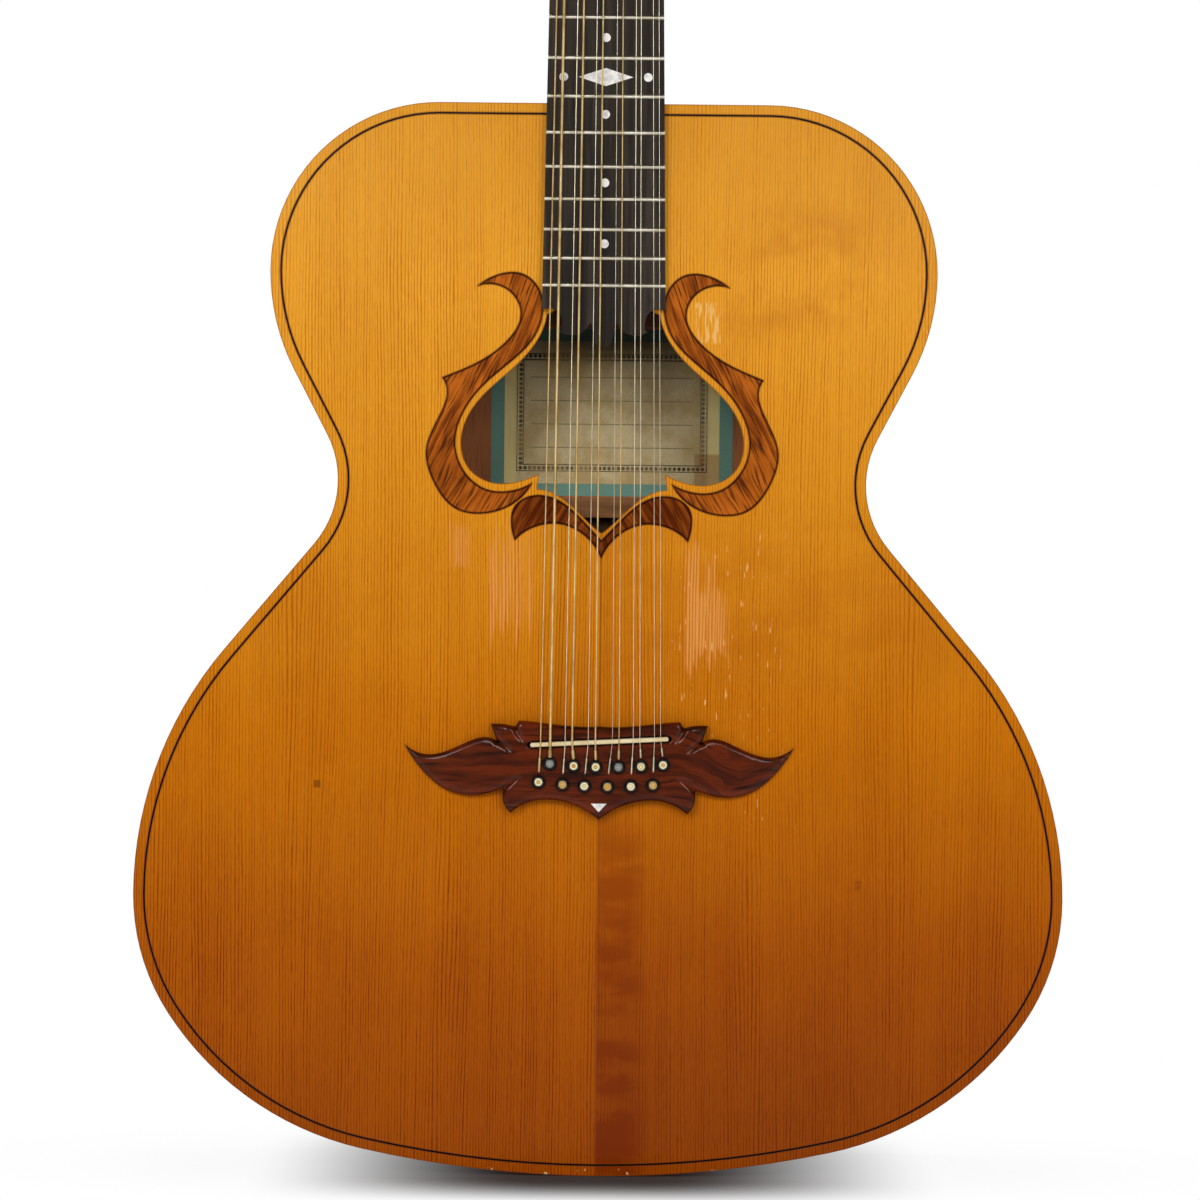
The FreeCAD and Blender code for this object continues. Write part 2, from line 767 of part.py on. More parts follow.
def dovetail(gap):
    """The wedge of the joint, with a gap past its end and below it but none at its flanks."""
    start = mm("body_length")
    end = start - mm("tenon_length") - gap
    root = value("tenon_root_width / 2")
    wide = root + (start - end) * value("(tenon_end_width - tenon_root_width) / 2 / tenon_length")
    corners = [Vector(-root, start, 0), Vector(-wide, end, 0), Vector(wide, end, 0), Vector(root, start, 0)]
    depth = value("neck_end_depth - tenon_above_back") + gap
    outline = Part.makePolygon(corners + corners[:1])
    return prism(outline, -depth, 0)


TENON = dovetail(0)
MORTISE = dovetail(mm("tenon_gap"))

# Hole for an end pin, through the middle of the tail and the block behind it

hole_axis = Vector(0, 0, -value("tail_depth / 2"))
END_PIN_HOLE = rod(mm("end_pin_hole_radius"), hole_axis - Vector(0, OVER, 0),
                   hole_axis + Vector(0, value("side_thickness + tail_block_length + overrun"), 0))

# Blocks inside the body, at the neck and at the tail

block_start = "body_length - side_thickness - neck_block_length"
block_end = "body_length - side_thickness"
neck_block = padded("neck_block_blank", "YZ_Plane", (
    (block_start, "-top_thickness"),
    (block_start, back_inside_text(block_start)),
    (block_end, back_inside_text(block_end)),
    (block_end, "-top_thickness"),
), "neck_block_width", both_ways=True)
NECK_BLOCK = neck_block.Shape.copy()
subpart(trimmed("neck_block", neck_block, shaped("mortise", MORTISE)), "neck_block")

tail_start, tail_end = "side_thickness", "side_thickness + tail_block_length"
inner_body = prism(body_wire(mm("side_thickness")), -mm("tail_depth"), 0)
tail_block_blank = padded("tail_block_blank", "YZ_Plane", (
    ("0", "-top_thickness"),
    ("0", back_inside_text("0")),
    (tail_end, back_inside_text(tail_end)),
    (tail_end, "-top_thickness"),
), "tail_block_width", both_ways=True)
tail_block_shape = tail_block_blank.Shape.common(inner_body)
TAIL_BLOCK = tail_block_shape.copy()
subpart(trimmed("tail_block", shaped("tail_block_shaped", tail_block_shape),
                shaped("end_pin_hole", END_PIN_HOLE)), "tail_block")

# Tail wedge: a tapered strip let in between the sides' ends at the tail, wider at the back

wedge_room = padded("tail_wedge_room", "XZ_Plane", (
    ("-tail_wedge_front / 2", "0"),
    ("tail_wedge_front / 2", "0"),
    ("tail_wedge_back / 2", "-tail_depth"),
    ("-tail_wedge_back / 2", "-tail_depth"),
), "tail_block_length", both_ways=True).Shape
side_blank = ring(0, mm("side_thickness"), -mm("tail_depth"), 0)
wedge_blank = side_blank.common(wedge_room).common(slab(-WIDE, WIDE, BACK_INSIDE, level(TOP_INSIDE)))
shaped_subpart("tail_wedge", wedge_blank.cut(END_PIN_HOLE))

# Sides: two bent strips that meet at the neck, with the wedge between them at the tail

side_blank = side_blank.cut(Part.makeCompound([MORTISE, wedge_room]))
for name, left, right in (("side_bass", -WIDE, 0), ("side_treble", 0, WIDE)):
    shaped_subpart(name, side_blank.common(slab(left, right, BACK_INSIDE, level(TOP_INSIDE))))

# Linings: strips glued inside the corners of the sides, where the top and back are glued on

lining_outer = mm("side_thickness")
lining_inner = lining_outer + mm("lining_width")
lining_ring = ring(lining_outer, lining_inner, -mm("tail_depth"), 0)
lining_ring = lining_ring.cut(Part.makeCompound([NECK_BLOCK, TAIL_BLOCK]))
top_lining_low = level(TOP_INSIDE - mm("lining_height"))
back_lining_high = back_face(value("back_thickness + lining_height"))
shaped_subpart("top_linings", lining_ring.common(slab(-WIDE, WIDE, top_lining_low, level(TOP_INSIDE))))
shaped_subpart("back_linings", lining_ring.common(slab(-WIDE, WIDE, BACK_INSIDE, back_lining_high)))

# Back: two tapered boards joined on the centre line

back_blank = prism(body_wire(0), -value("tail_depth + overrun"), -value("neck_end_depth / 2"))
for name, left, right in (("back_bass_half", -WIDE, 0), ("back_treble_half", 0, WIDE)):
    shaped_subpart(name, back_blank.common(slab(left, right, back_face(0), BACK_INSIDE)))

# Sound hole and inlays

hole_half, hole_high, hole_low = value("hole_width / 2"), mm("hole_height"), HOLE_AT
hole_edges = [hole_lobe_shares, (hole_lobe_shares[-1], hole_tip_shares[0]), hole_tip_shares]
hole_sides = []
for side in (1, -1):
    for stretch in hole_edges:
        hole_sides.append(smooth_edge(placed_shares(stretch, hole_half, hole_high, hole_low, side)))
hole_corner = placed_shares(hole_lobe_shares[:1], hole_half, hole_high, hole_low)[0]
hole_top = Vector(0, hole_corner.y + mm("hole_top_rise"), 0)
hole_sides.append(Part.Arc(hole_corner, hole_top, Vector(-hole_corner.x, hole_corner.y, 0)).toShape())
hole_wire = Part.Wire(Part.__sortEdges__(hole_sides))
SOUND_HOLE = prism(hole_wire, TOP_INSIDE - OVER, OVER)

inlay_low = -mm("inlay_depth")
scroll_edges = (scroll_inner_shares, scroll_outer_shares, scroll_hook_shares)
leaf_edges = (leaf_top_shares, leaf_bottom_shares)
inlays = [prism(closed_wire(scroll_edges, hole_half, hole_high, hole_low, side), inlay_low, 0)
          for side in (-1, 1)]
inlays.append(prism(mirrored_wire(leaf_edges, hole_half, hole_high, hole_low), inlay_low, 0))
INLAYS = Part.makeCompound(inlays)
shaped_subpart("scroll_inlays", INLAYS)

purfling = ring(mm("purfling_inset"), value("purfling_inset + purfling_width"), inlay_low, 0)
purfling = purfling.cut(MORTISE)
shaped_subpart("top_purfling", purfling)

# Soundboard: two matched boards, with the hole, the inlays' seats and the holes for the pins

top_blank = prism(body_wire(0), TOP_INSIDE, 0)
top_blank = top_blank.cut([SOUND_HOLE, INLAYS, purfling, MORTISE, PIN_HOLES, STRING_ROOM])
for name, left, right in (("soundboard_bass_half", -WIDE, 0), ("soundboard_treble_half", 0, WIDE)):
    shaped_subpart(name, top_blank.common(slab(left, right, level(TOP_INSIDE - OVER), level(OVER))))

# Braces under the top

inside = prism(body_wire(lining_inner), -mm("tail_depth"), 0)


def bar(start, end, width, low, high):
    """A straight stick between two places, standing on edge."""
    span = end - start
    stick = block(0, span.Length, -width / 2, width / 2, low, high)
    turn = math.degrees(math.atan2(span.y, span.x))
    stick.Placement = Placement(Vector(start.x, start.y, 0), Rotation(Vector(0, 0, 1), turn))
    return stick


cross = Vector(0, SADDLE_AT + mm("cross_above_saddle"), 0)
cross_way = Vector(math.sin(math.radians(mm("cross_angle"))), math.cos(math.radians(mm("cross_angle"))), 0)
reach = mm("body_length")
brace_low = TOP_INSIDE - mm("brace_height")
lap_level = TOP_INSIDE - value("brace_height / 2")
arms = []
for side in (1, -1):
    way = Vector(side * cross_way.x, cross_way.y, 0)
    arm = bar(cross - way * reach, cross + way * reach, mm("brace_width"), brace_low, TOP_INSIDE)
    arms.append(arm.common(inside))
lap = arms[0].common(arms[1])
lap_upper = lap.common(slab(-WIDE, WIDE, level(lap_level), level(0)))
lap_lower = lap.cut(lap_upper)
arms = [arms[0].cut(lap_lower), arms[1].cut(lap_upper)]
both_arms = Part.makeCompound(arms)

# Tone bars, between the lower arms of the cross: their ends in shares of half the lower bout's
# width and of the body's length
tone_bar_shares = (((-0.62, 0.305), (0.32, 0.165)), ((-0.46, 0.200), (0.26, 0.085)))
lower_room = [cross, cross - Vector(cross_way.x, cross_way.y, 0) * reach,
              cross - Vector(-cross_way.x, cross_way.y, 0) * reach]
lower_room = prism(Part.makePolygon(lower_room + lower_room[:1]), brace_low, TOP_INSIDE)
tone_bars = []
for start, end in tone_bar_shares:
    places = placed_shares((start, end), value("lower_bout_width / 2"), mm("body_length"), 0)
    stick = bar(*places, mm("brace_width"), brace_low, TOP_INSIDE)
    tone_bars.append(stick.common(inside).common(lower_room).cut(both_arms))
bar_at = HOLE_AT + value("hole_height + bar_above_hole + hole_top_rise")
transverse = block(-WIDE, WIDE, bar_at - value("bar_width / 2"), bar_at + value("bar_width / 2"),
                   brace_low, TOP_INSIDE)
# Finger braces, square to the lower arms: their places down the arm in shares of the body's length
finger_shares = (0.20, 0.31)
fingers = []
for side in (1, -1):
    for share in finger_shares:
        start = cross + Vector(side * cross_way.x, -cross_way.y, 0) * share * mm("body_length")
        way = Vector(side * cross_way.y, cross_way.x, 0)
        stick = bar(start, start + way * mm("finger_length"), mm("finger_width"),
                    TOP_INSIDE - mm("finger_height"), TOP_INSIDE)
        fingers.append(stick.common(inside).cut(both_arms))
braces = arms + tone_bars + [transverse.common(inside).cut(NECK_BLOCK)] + fingers

# Bridge plate: hard wood between the arms of the cross, drilled for the pins

plate_middle = SADDLE_AT - value("front_pins_below_saddle + pin_row_gap / 2")
plate_tail = plate_middle - value("bridge_plate_length / 2")
plate_head = plate_middle + value("bridge_plate_length / 2")
arm_half_across = value("brace_width / 2 / cos(cross_angle)")


def plate_half_width(y):
    return math.tan(math.radians(mm("cross_angle"))) * (cross.y - y) - arm_half_across


plate_corners = [Vector(-plate_half_width(plate_tail), plate_tail, 0),
                 Vector(plate_half_width(plate_tail), plate_tail, 0),
                 Vector(plate_half_width(plate_head), plate_head, 0),
                 Vector(-plate_half_width(plate_head), plate_head, 0)]
plate = prism(Part.makePolygon(plate_corners + plate_corners[:1]), PLATE_UNDERSIDE, TOP_INSIDE)
shaped_subpart("bridge_plate", plate.cut([PIN_HOLES, STRING_ROOM]))
braces = [brace.cut(plate) for brace in braces]
shaped_subpart("top_braces", Part.makeCompound(braces))

# Braces and seam strip on the back

card_tail = HOLE_AT + mm("card_above_hole_tip")
card_head = card_tail + mm("card_height")
lower_bar_shares = (0.155, 0.370)
bar_places = [share * mm("body_length") for share in lower_bar_shares]
bar_places += [card_tail - mm("bar_below_card"), card_head + mm("bar_above_card")]
back_bars = []
for middle in bar_places:
    column = block(-WIDE, WIDE, middle - value("bar_width / 2"), middle + value("bar_width / 2"),
                   -mm("tail_depth"), 0)
    high = back_face(value("back_thickness + back_brace_height"))
    back_bars.append(column.common(slab(-WIDE, WIDE, BACK_INSIDE, high)).common(inside).cut(NECK_BLOCK))
strip_half = value("seam_strip_width / 2")
strip_high = back_face(value("back_thickness + seam_strip_thickness"))
strip = slab(-strip_half, strip_half, BACK_INSIDE, strip_high).common(inner_body)
label_room = block(-WIDE, WIDE, bar_places[-2], bar_places[-1], -mm("tail_depth"), 0)
strip = strip.cut(back_bars + [NECK_BLOCK, TAIL_BLOCK, label_room])
shaped_subpart("back_braces", Part.makeCompound(back_bars + [strip]))

# Label: a sheet of paper on a card, glued to the inside of the back

card_middle = mm("card_off_centre")
card = slab(card_middle - value("card_width / 2"), card_middle + value("card_width / 2"), BACK_INSIDE,
            back_face(value("back_thickness + card_thickness")))
card = card.common(block(-WIDE, WIDE, card_tail, card_head, -mm("tail_depth"), 0))
paper_margin = value("(card_height - paper_height) / 2")
paper = slab(card_middle - value("paper_width / 2"), card_middle + value("paper_width / 2"),
             back_face(value("back_thickness + card_thickness")),
             back_face(value("back_thickness + card_thickness + paper_thickness")))
paper = paper.common(block(-WIDE, WIDE, card_tail + paper_margin, card_head - paper_margin,
                           -mm("tail_depth"), 0))
shaped_subpart("paper_label", Part.makeCompound([card, paper]))

# Saddle: a bone bar with a crowned top, set in a slot of the bridge

saddle = padded("saddle_blank", "XY_Plane", (
    ("-saddle_length / 2", "-saddle_width / 2"),
    ("saddle_length / 2", "-saddle_width / 2"),
    ("saddle_length / 2", "saddle_width / 2"),
    ("-saddle_length / 2", "saddle_width / 2"),
), "saddle_slot_depth + saddle_rise")
saddle_high = value("saddle_slot_depth + saddle_rise")
SADDLE_PLACE = Placement(Vector(0, SADDLE_AT, value("bridge_thickness - saddle_slot_depth")),
                         Rotation(Vector(0, 0, 1), mm("saddle_slant")))
rounded(saddle, "saddle_end_round", lambda edge: edge.BoundBox.ZLength > OVER)
saddle_slot = saddle.Shape.copy()
saddle_slot.Placement = SADDLE_PLACE
rounded(saddle, "saddle_crown",
        lambda edge: level_edge(edge, "Z", saddle_high) and edge.BoundBox.XLength > OVER)
saddle.Placement = SADDLE_PLACE
string_room = shaped("string_room", STRING_ROOM)
subpart(trimmed("saddle", saddle, string_room), "saddle")

# Bridge: a carved board with a long wing on each side

bridge_half, bridge_long = value("bridge_width / 2"), mm("bridge_length")
bridge_wire = mirrored_wire(bridge_shares, bridge_half, bridge_long, BRIDGE_FOOT)
bridge = prism(bridge_wire, 0, mm("bridge_thickness"))
wing_start, wing_end = mm("bridge_wing_start"), bridge_half + OVER
wing_high, wing_low = mm("bridge_thickness"), mm("bridge_tip_thickness")
wing_sag_share = 0.3
wing_cuts = []
for side in (1, -1):
    start = Vector(side * wing_start, 0, wing_high)
    end = Vector(side * wing_end, 0, wing_low)
    middle = (start + end) / 2 - Vector(0, 0, wing_sag_share * (wing_high - wing_low))
    corner = Vector(side * wing_end, 0, wing_high + OVER)
    above = Vector(side * wing_start, 0, wing_high + OVER)
    edges = [Part.Arc(start, middle, end).toShape(), Part.makeLine(end, corner),
             Part.makeLine(corner, above), Part.makeLine(above, start)]
    cutter = Part.Face(Part.Wire(edges)).extrude(Vector(0, bridge_long + 2 * OVER, 0))
    cutter.translate(Vector(0, BRIDGE_FOOT - OVER, 0))
    wing_cuts.append(cutter)
triangle_top = BRIDGE_FOOT + mm("pearl_triangle_from_foot")
triangle_half = value("pearl_triangle_width / 2")
triangle_corners = [Vector(-triangle_half, triangle_top, 0), Vector(triangle_half, triangle_top, 0),
                    Vector(0, triangle_top - mm("pearl_triangle_height"), 0)]
triangle = prism(Part.makePolygon(triangle_corners + triangle_corners[:1]),
                 value("bridge_thickness - pearl_depth"), mm("bridge_thickness"))
bridge = bridge.cut(wing_cuts + [PIN_HOLES, STRING_ROOM, saddle_slot, triangle])
shaped_subpart("bridge", bridge)

# Fretboard: a tapered board with slots for the frets, seats for the pearl and a carved end


def fret_at(number):
    return NUT_FACE - mm("scale_length") * (1 - 2 ** (-number / 12))


def board_half_width(y):
    fall = value("(board_width_at_body_fret - board_width_at_nut) / 2")
    return value("board_width_at_nut / 2") + fall * (NUT_FACE - y) / (NUT_FACE - fret_at(mm("body_fret")))


board_tip = fret_at(mm("fret_count")) - mm("board_past_last_fret")
board_corner = board_tip + mm("board_end_length")
end_half = board_half_width(board_corner)
nut_half = board_half_width(NUT_FACE)
board_edges = []
for side in (1, -1):
    for stretch in board_end_shares:
        points = placed_shares(stretch, end_half, mm("board_end_length"), board_tip, side)
        board_edges.append(arc_edge(points))
    board_edges.append(Part.makeLine(Vector(side * end_half, board_corner, 0),
                                     Vector(side * nut_half, NUT_FACE, 0)))
board_edges.append(Part.makeLine(Vector(-nut_half, NUT_FACE, 0), Vector(nut_half, NUT_FACE, 0)))
board_wire = Part.Wire(Part.__sortEdges__(board_edges))
board_top = mm("board_thickness")
board = prism(board_wire, 0, board_top)

# Frets: a low crown and a tang that sits in its slot


def fret(number):
    place, half = fret_at(number), board_half_width(fret_at(number))
    crown, tang = value("fret_crown_width / 2"), value("fret_tang_width / 2")
    high, low = board_top + mm("fret_crown_height"), board_top - mm("fret_tang_depth")
    corners = [Vector(-half, place - crown, board_top), Vector(-half, place - tang, board_top),
               Vector(-half, place - tang, low), Vector(-half, place + tang, low),
               Vector(-half, place + tang, board_top), Vector(-half, place + crown, board_top)]
    edges = [Part.makeLine(a, b) for a, b in zip(corners, corners[1:])]
    edges.append(Part.Arc(corners[-1], Vector(-half, place, high), corners[0]).toShape())
    return Part.Face(Part.Wire(edges)).extrude(Vector(2 * half, 0, 0))


FRETS = [fret(number) for number in range(1, int(mm("fret_count")) + 1)]
shaped_subpart("frets", Part.makeCompound(FRETS))

# Pearl: dots in the usual spaces, a diamond between two dots at the body fret, and the
# triangle in the bridge

pearl_low = board_top - mm("pearl_depth")


def pearl_dot(x, y):
    return Part.makeCylinder(mm("pearl_dot_radius"), mm("pearl_depth"), Vector(x, y, pearl_low))


def space_before(number):
    return (fret_at(number) + fret_at(number - 1)) / 2


board_pearl = [pearl_dot(0, space_before(number)) for number in range(3, 18, 2)]
diamond_at = space_before(mm("body_fret"))
diamond_wide, diamond_high = value("pearl_diamond_width / 2"), value("pearl_diamond_height / 2")
diamond_corners = [Vector(diamond_wide, diamond_at, 0), Vector(0, diamond_at + diamond_high, 0),
                   Vector(-diamond_wide, diamond_at, 0), Vector(0, diamond_at - diamond_high, 0)]
board_pearl.append(prism(Part.makePolygon(diamond_corners + diamond_corners[:1]), pearl_low, board_top))
for side in (1, -1):
    board_pearl.append(pearl_dot(side * mm("pearl_side_dot_offset"), diamond_at))
shaped_subpart("pearl_inlays", Part.makeCompound(board_pearl + [triangle]))
shaped_subpart("fretboard", board.cut(FRETS + board_pearl))

# Nut: bone, sloped back along the strings, with a groove for each

nut_back_drop = "nut_thickness * tan(head_angle)"
nut_blank = padded("nut_blank", "YZ_Plane", (
    (nut_front, "0"),
    (nut_front + " + nut_thickness", "0"),
    (nut_front + " + nut_thickness",
     "board_thickness + fret_crown_height + nut_above_frets - " + nut_back_drop),
    (nut_front, "board_thickness + fret_crown_height + nut_above_frets"),
), "board_width_at_nut", both_ways=True)
subpart(trimmed("nut", nut_blank, string_room), "nut")

# Strings

for name, numbers in (("wound_strings", WOUND), ("plain_strings", PLAIN)):
    shaped_subpart(name, Part.makeCompound([shape for number in numbers for shape in string_shapes(number)]))

# Head outline

head_half, head_long = value("head_width / 2"), mm("head_length")
neck_end_half = value("board_width_at_nut / 2")
join = placed_shares(head_side_shares[:1], head_half, head_long, 0)[0]
join.y = mm("head_join")


def head_wire(from_nut):
    """The head's outline from the nut, or from where the neck's curve has turned flat."""
    edges = []
    start = Vector(neck_end_half, 0, 0) if from_nut else join
    for side in (1, -1):
        sides = placed_shares(head_side_shares, head_half, head_long, 0, side)
        sides[0] = Vector(side * join.x, join.y, 0)
        edges.append(smooth_edge(sides))
        edges.append(smooth_edge(placed_shares(head_crest_shares, head_half, head_long, 0, side)))
        if from_nut:
            edges.append(Part.makeLine(Vector(side * neck_end_half, 0, 0), sides[0]))
    edges.append(Part.makeLine(Vector(-start.x, start.y, 0), start))
    return Part.Wire(Part.__sortEdges__(edges))


# Truss rod: a bar in a channel under the fretboard, with a nut in a pocket of the head

rod_half = value("rod_width / 2")
rod_start = value("body_length + rod_heel_end")
rod_axis = Vector(0, HEAD_START, -mm("rod_axis_depth"))
rod_tip = rod_axis + Vector(0, mm("rod_end_length"), 0)
channel = block(-rod_half, rod_half, rod_start, HEAD_START, -mm("rod_height"), 0)
rod_shape = channel.fuse(rod(mm("rod_end_radius"), rod_axis, rod_tip))
shaped_subpart("truss_rod", rod_shape)
pocket_half = value("rod_pocket_width / 2")
ROD_POCKET = on_head(block(-pocket_half, pocket_half, 0, mm("rod_pocket_length"),
                           -mm("rod_pocket_depth"), mm("veneer_thickness")))
ROD_POCKET = ROD_POCKET.cut(block(-WIDE, WIDE, 0, HEAD_START, -WIDE, WIDE))

# Truss rod nut: a hexagon that turns on the rod's end

hexagon_radius = value("rod_nut_across_flats / 2 / cos(30)")
hexagon = [Vector(hexagon_radius * math.cos(math.radians(angle)), 0,
                  hexagon_radius * math.sin(math.radians(angle))) for angle in range(0, 360, 60)]
rod_nut = Part.Face(Part.makePolygon(hexagon + hexagon[:1])).extrude(Vector(0, mm("rod_nut_length"), 0))
bore_radius = value("rod_end_radius + running_gap")
rod_nut = rod_nut.cut(rod(bore_radius, Vector(0, -OVER, 0), Vector(0, value("rod_nut_length + overrun"), 0)))
ROD_NUT_PLACE = Placement(rod_axis + Vector(0, mm("rod_nut_start"), 0), Rotation())
shaped_subpart("truss_rod_nut", rod_nut, UPRIGHT.multiply(ROD_NUT_PLACE))

# Heights on the head's bench: the back of the wood, the machines' plates, worms and gears

head_back = -mm("head_thickness")
plate_back = head_back - mm("plate_thickness")
worm_height = plate_back - mm("worm_tip_radius") - mm("gear_lift")
gear_front = worm_height + value("gear_thickness / 2")
gear_back = worm_height - value("gear_thickness / 2")
gear_radius = value("gear_teeth * gear_module / 2")
worm_offset = gear_radius + mm("worm_radius")


def machine_side(number):
    return -1 if number < PER_SIDE else 1


# Screws for the plates and for the cover

screw = Part.makeCylinder(mm("screw_shank_radius"), mm("screw_length"), Vector(0, 0, -mm("screw_length")))
screw_head = Part.makeCylinder(mm("screw_head_radius"), mm("screw_head_height"))
screw = screw.fuse(screw_head)
screw = screw.makeFillet(value("screw_head_height / 2"),
                         [edge for edge in screw.Edges if level_edge(edge, "Z", mm("screw_head_height"))])


def screw_at(x, y, seat, backwards):
    copy = screw.copy()
    turn = Rotation(Vector(1, 0, 0), 180) if backwards else Rotation()
    copy.Placement = Placement(Vector(x, y, seat), turn)
    return copy


plate_screws = []
row_half = value("machine_row_gap / 2")
after_worm = value("(machine_pitch + gear_teeth * gear_module / 2 + worm_radius) / 2")
for side in (-1, 1):
    for step in range(-1, PER_SIDE):
        along = mm("machine_first") + step * mm("machine_pitch") + after_worm
        plate_screws.append(screw_at(side * row_half, along, plate_back, True))
cover_top = value("veneer_thickness + cover_thickness")
# In shares of the cover's width at its base and of its length
cover_screw_shares = ((-0.34, 0.14), (0.34, 0.14), (0.0, 0.93))
cover_screws = []
for across, along in cover_screw_shares:
    cover_screws.append(screw_at(across * mm("cover_base_width"),
                                 mm("cover_start") + along * mm("cover_length"), cover_top, False))
SCREWS = Part.makeCompound(plate_screws + cover_screws)
shaped_subpart("wood_screws", SCREWS, HEAD_UPRIGHT)

# Truss rod cover

cover_half, cover_tip = value("cover_base_width / 2"), value("cover_tip_width / 2")
cover_blank = padded("cover_blank", "XY_Plane", (
    ("-cover_base_width / 2", "cover_start"),
    ("cover_base_width / 2", "cover_start"),
    ("cover_tip_width / 2", "cover_start + cover_length"),
    ("-cover_tip_width / 2", "cover_start + cover_length"),
), "cover_thickness")
cover_shape = cover_blank.Shape.copy()
cover_shape.translate(Vector(0, 0, mm("veneer_thickness")))
shaped_subpart("truss_rod_cover", cover_shape.cut(SCREWS), HEAD_UPRIGHT)

# Bushings: flanged sleeves that guide the posts in the head's face

bushing = turned("bushing_blank", "XZ_Plane", (
    ("post_radius + running_gap", "veneer_thickness - bushing_depth"),
    ("bushing_radius", "veneer_thickness - bushing_depth"),
    ("bushing_radius", "veneer_thickness"),
    ("bushing_flange_radius", "veneer_thickness"),
    ("bushing_flange_radius", "veneer_thickness + bushing_flange_thickness"),
    ("post_radius + running_gap", "veneer_thickness + bushing_flange_thickness"),
), "V_Axis")


def at_each_post(shape):
    copies = []
    for number in STRINGS:
        copy = shape.copy()
        copy.translate(post_place(number))
        copies.append(copy)
    return copies


shaped_subpart("tuner_bushings", Part.makeCompound(at_each_post(bushing.Shape)), HEAD_UPRIGHT)
post_hole = Part.makeCylinder(mm("bushing_radius"), value("head_thickness + veneer_thickness"),
                              Vector(0, 0, head_back))
POST_HOLES = Part.makeCompound(at_each_post(post_hole))

# Head veneer

veneer = prism(head_wire(True), 0, mm("veneer_thickness"))
pocket_cut = block(-pocket_half, pocket_half, 0, mm("rod_pocket_length"), -OVER, OVER)
shaped_subpart("head_veneer", veneer.cut([POST_HOLES, pocket_cut, SCREWS]), HEAD_UPRIGHT)

# Neck: shaft, heel, head core and tenon, all of one piece of wood

section_steps = 16
shaft_squareness = 2.0
head_squareness = 8.0


def neck_section(half_width, depth, squareness, place):
    """A flat top with a rounded back under it, square to the neck."""
    points = []
    for step in range(section_steps + 1):
        angle = math.pi * step / section_steps
        across, down = math.cos(angle), math.sin(angle)
        x = half_width * math.copysign(abs(across) ** (2 / squareness), across)
        points.append(place.multVec(Vector(x, 0, -depth * abs(down) ** (2 / squareness))))
    return Part.Wire([smooth_edge(points), Part.makeLine(points[-1], points[0])])


at_body = Placement(Vector(0, mm("body_length"), 0), Rotation())
at_head = Placement(Vector(0, HEAD_START, 0), Rotation())
at_join = HEAD_BENCH.multiply(Placement(Vector(0, join.y, 0), Rotation()))
body_half = board_half_width(mm("body_length"))
shaft_end = neck_section(neck_end_half, mm("neck_depth_at_nut"), shaft_squareness, at_head)
shaft = Part.makeLoft([
    neck_section(body_half, mm("neck_depth_at_body"), shaft_squareness, at_body),
    shaft_end,
], True, True)
throat = Part.makeLoft([
    shaft_end,
    neck_section(join.x, mm("head_thickness"), head_squareness, at_join),
], True, True)
head_core = on_head(prism(head_wire(False), head_back, 0))

# Heel, from the shaft down to its cap: depth, reach and width of its level sections, in shares
# of the body's depth at the neck, the heel's reach and the heel's width
heel_shares = ((0.03, 1.00, 0.96), (0.12, 0.86, 0.98), (0.22, 0.62, 0.90), (0.42, 0.38, 0.72),
               (0.70, 0.27, 0.56), (1.00, 0.22, 0.47))


def heel_section(depth, reach_out, half_width):
    points = []
    for step in range(section_steps + 1):
        angle = math.pi * step / section_steps
        points.append(Vector(half_width * math.cos(angle),
                             mm("body_length") + reach_out * math.sin(angle), -depth))
    return Part.Wire([smooth_edge(points), Part.makeLine(points[-1], points[0])])


heel_depth = value("neck_end_depth - heel_cap_thickness")
heel_sections = [heel_section(depth * heel_depth, out * mm("heel_reach"), width * value("heel_width / 2"))
                 for depth, out, width in heel_shares]
heel = Part.makeLoft(heel_sections, True, False)
cap_face = Part.Face(heel_sections[-1])
heel_cap = cap_face.extrude(Vector(0, 0, -mm("heel_cap_thickness")))
shaped_subpart("heel_cap", heel_cap)

neck = joined([shaft, heel, throat, head_core, TENON])
neck = neck.cut([channel, ROD_POCKET, on_head(POST_HOLES), on_head(SCREWS)])
shaped_subpart("neck", neck)

# Plates of the machines, with two ears for each key's shaft

plate_half = value("plate_width / 2")
plate_tail_end = mm("machine_first") + after_worm - mm("machine_pitch") - mm("plate_margin") / 2
plate_head_end = plate_tail_end + PER_SIDE * mm("machine_pitch") + mm("plate_margin")
ear_half = value("key_ear_width / 2")
ear_low = worm_height - ear_half


def machine_plate(side):
    middle = side * row_half
    pieces = [block(middle - plate_half, middle + plate_half, plate_tail_end, plate_head_end,
                    plate_back, head_back)]
    cutters = list(plate_screws)
    for number in STRINGS:
        if machine_side(number) == side:
            post = post_place(number)
            shaft_at = post.y + worm_offset
            for direction in (-1, 1):
                ear_at = middle + direction * mm("key_ear_offset")
                thick = value("key_ear_thickness / 2")
                pieces.append(block(ear_at - thick, ear_at + thick, shaft_at - ear_half,
                                    shaft_at + ear_half, ear_low + ear_half, plate_back))
                pieces.append(rod(ear_half, Vector(ear_at - thick, shaft_at, worm_height),
                                  Vector(ear_at + thick, shaft_at, worm_height)))
            cutters.append(rod(value("key_shaft_radius + running_gap"),
                               Vector(middle - WIDE, shaft_at, worm_height),
                               Vector(middle + WIDE, shaft_at, worm_height)))
            cutters.append(Part.makeCylinder(value("post_foot_radius + running_gap"), 2 * OVER,
                                             Vector(post.x, post.y, head_back - OVER)))
    plate_shape = joined(pieces).cut(cutters)
    return plate_shape.common(block(-WIDE, WIDE, -WIDE, 2 * WIDE, -WIDE, head_back))


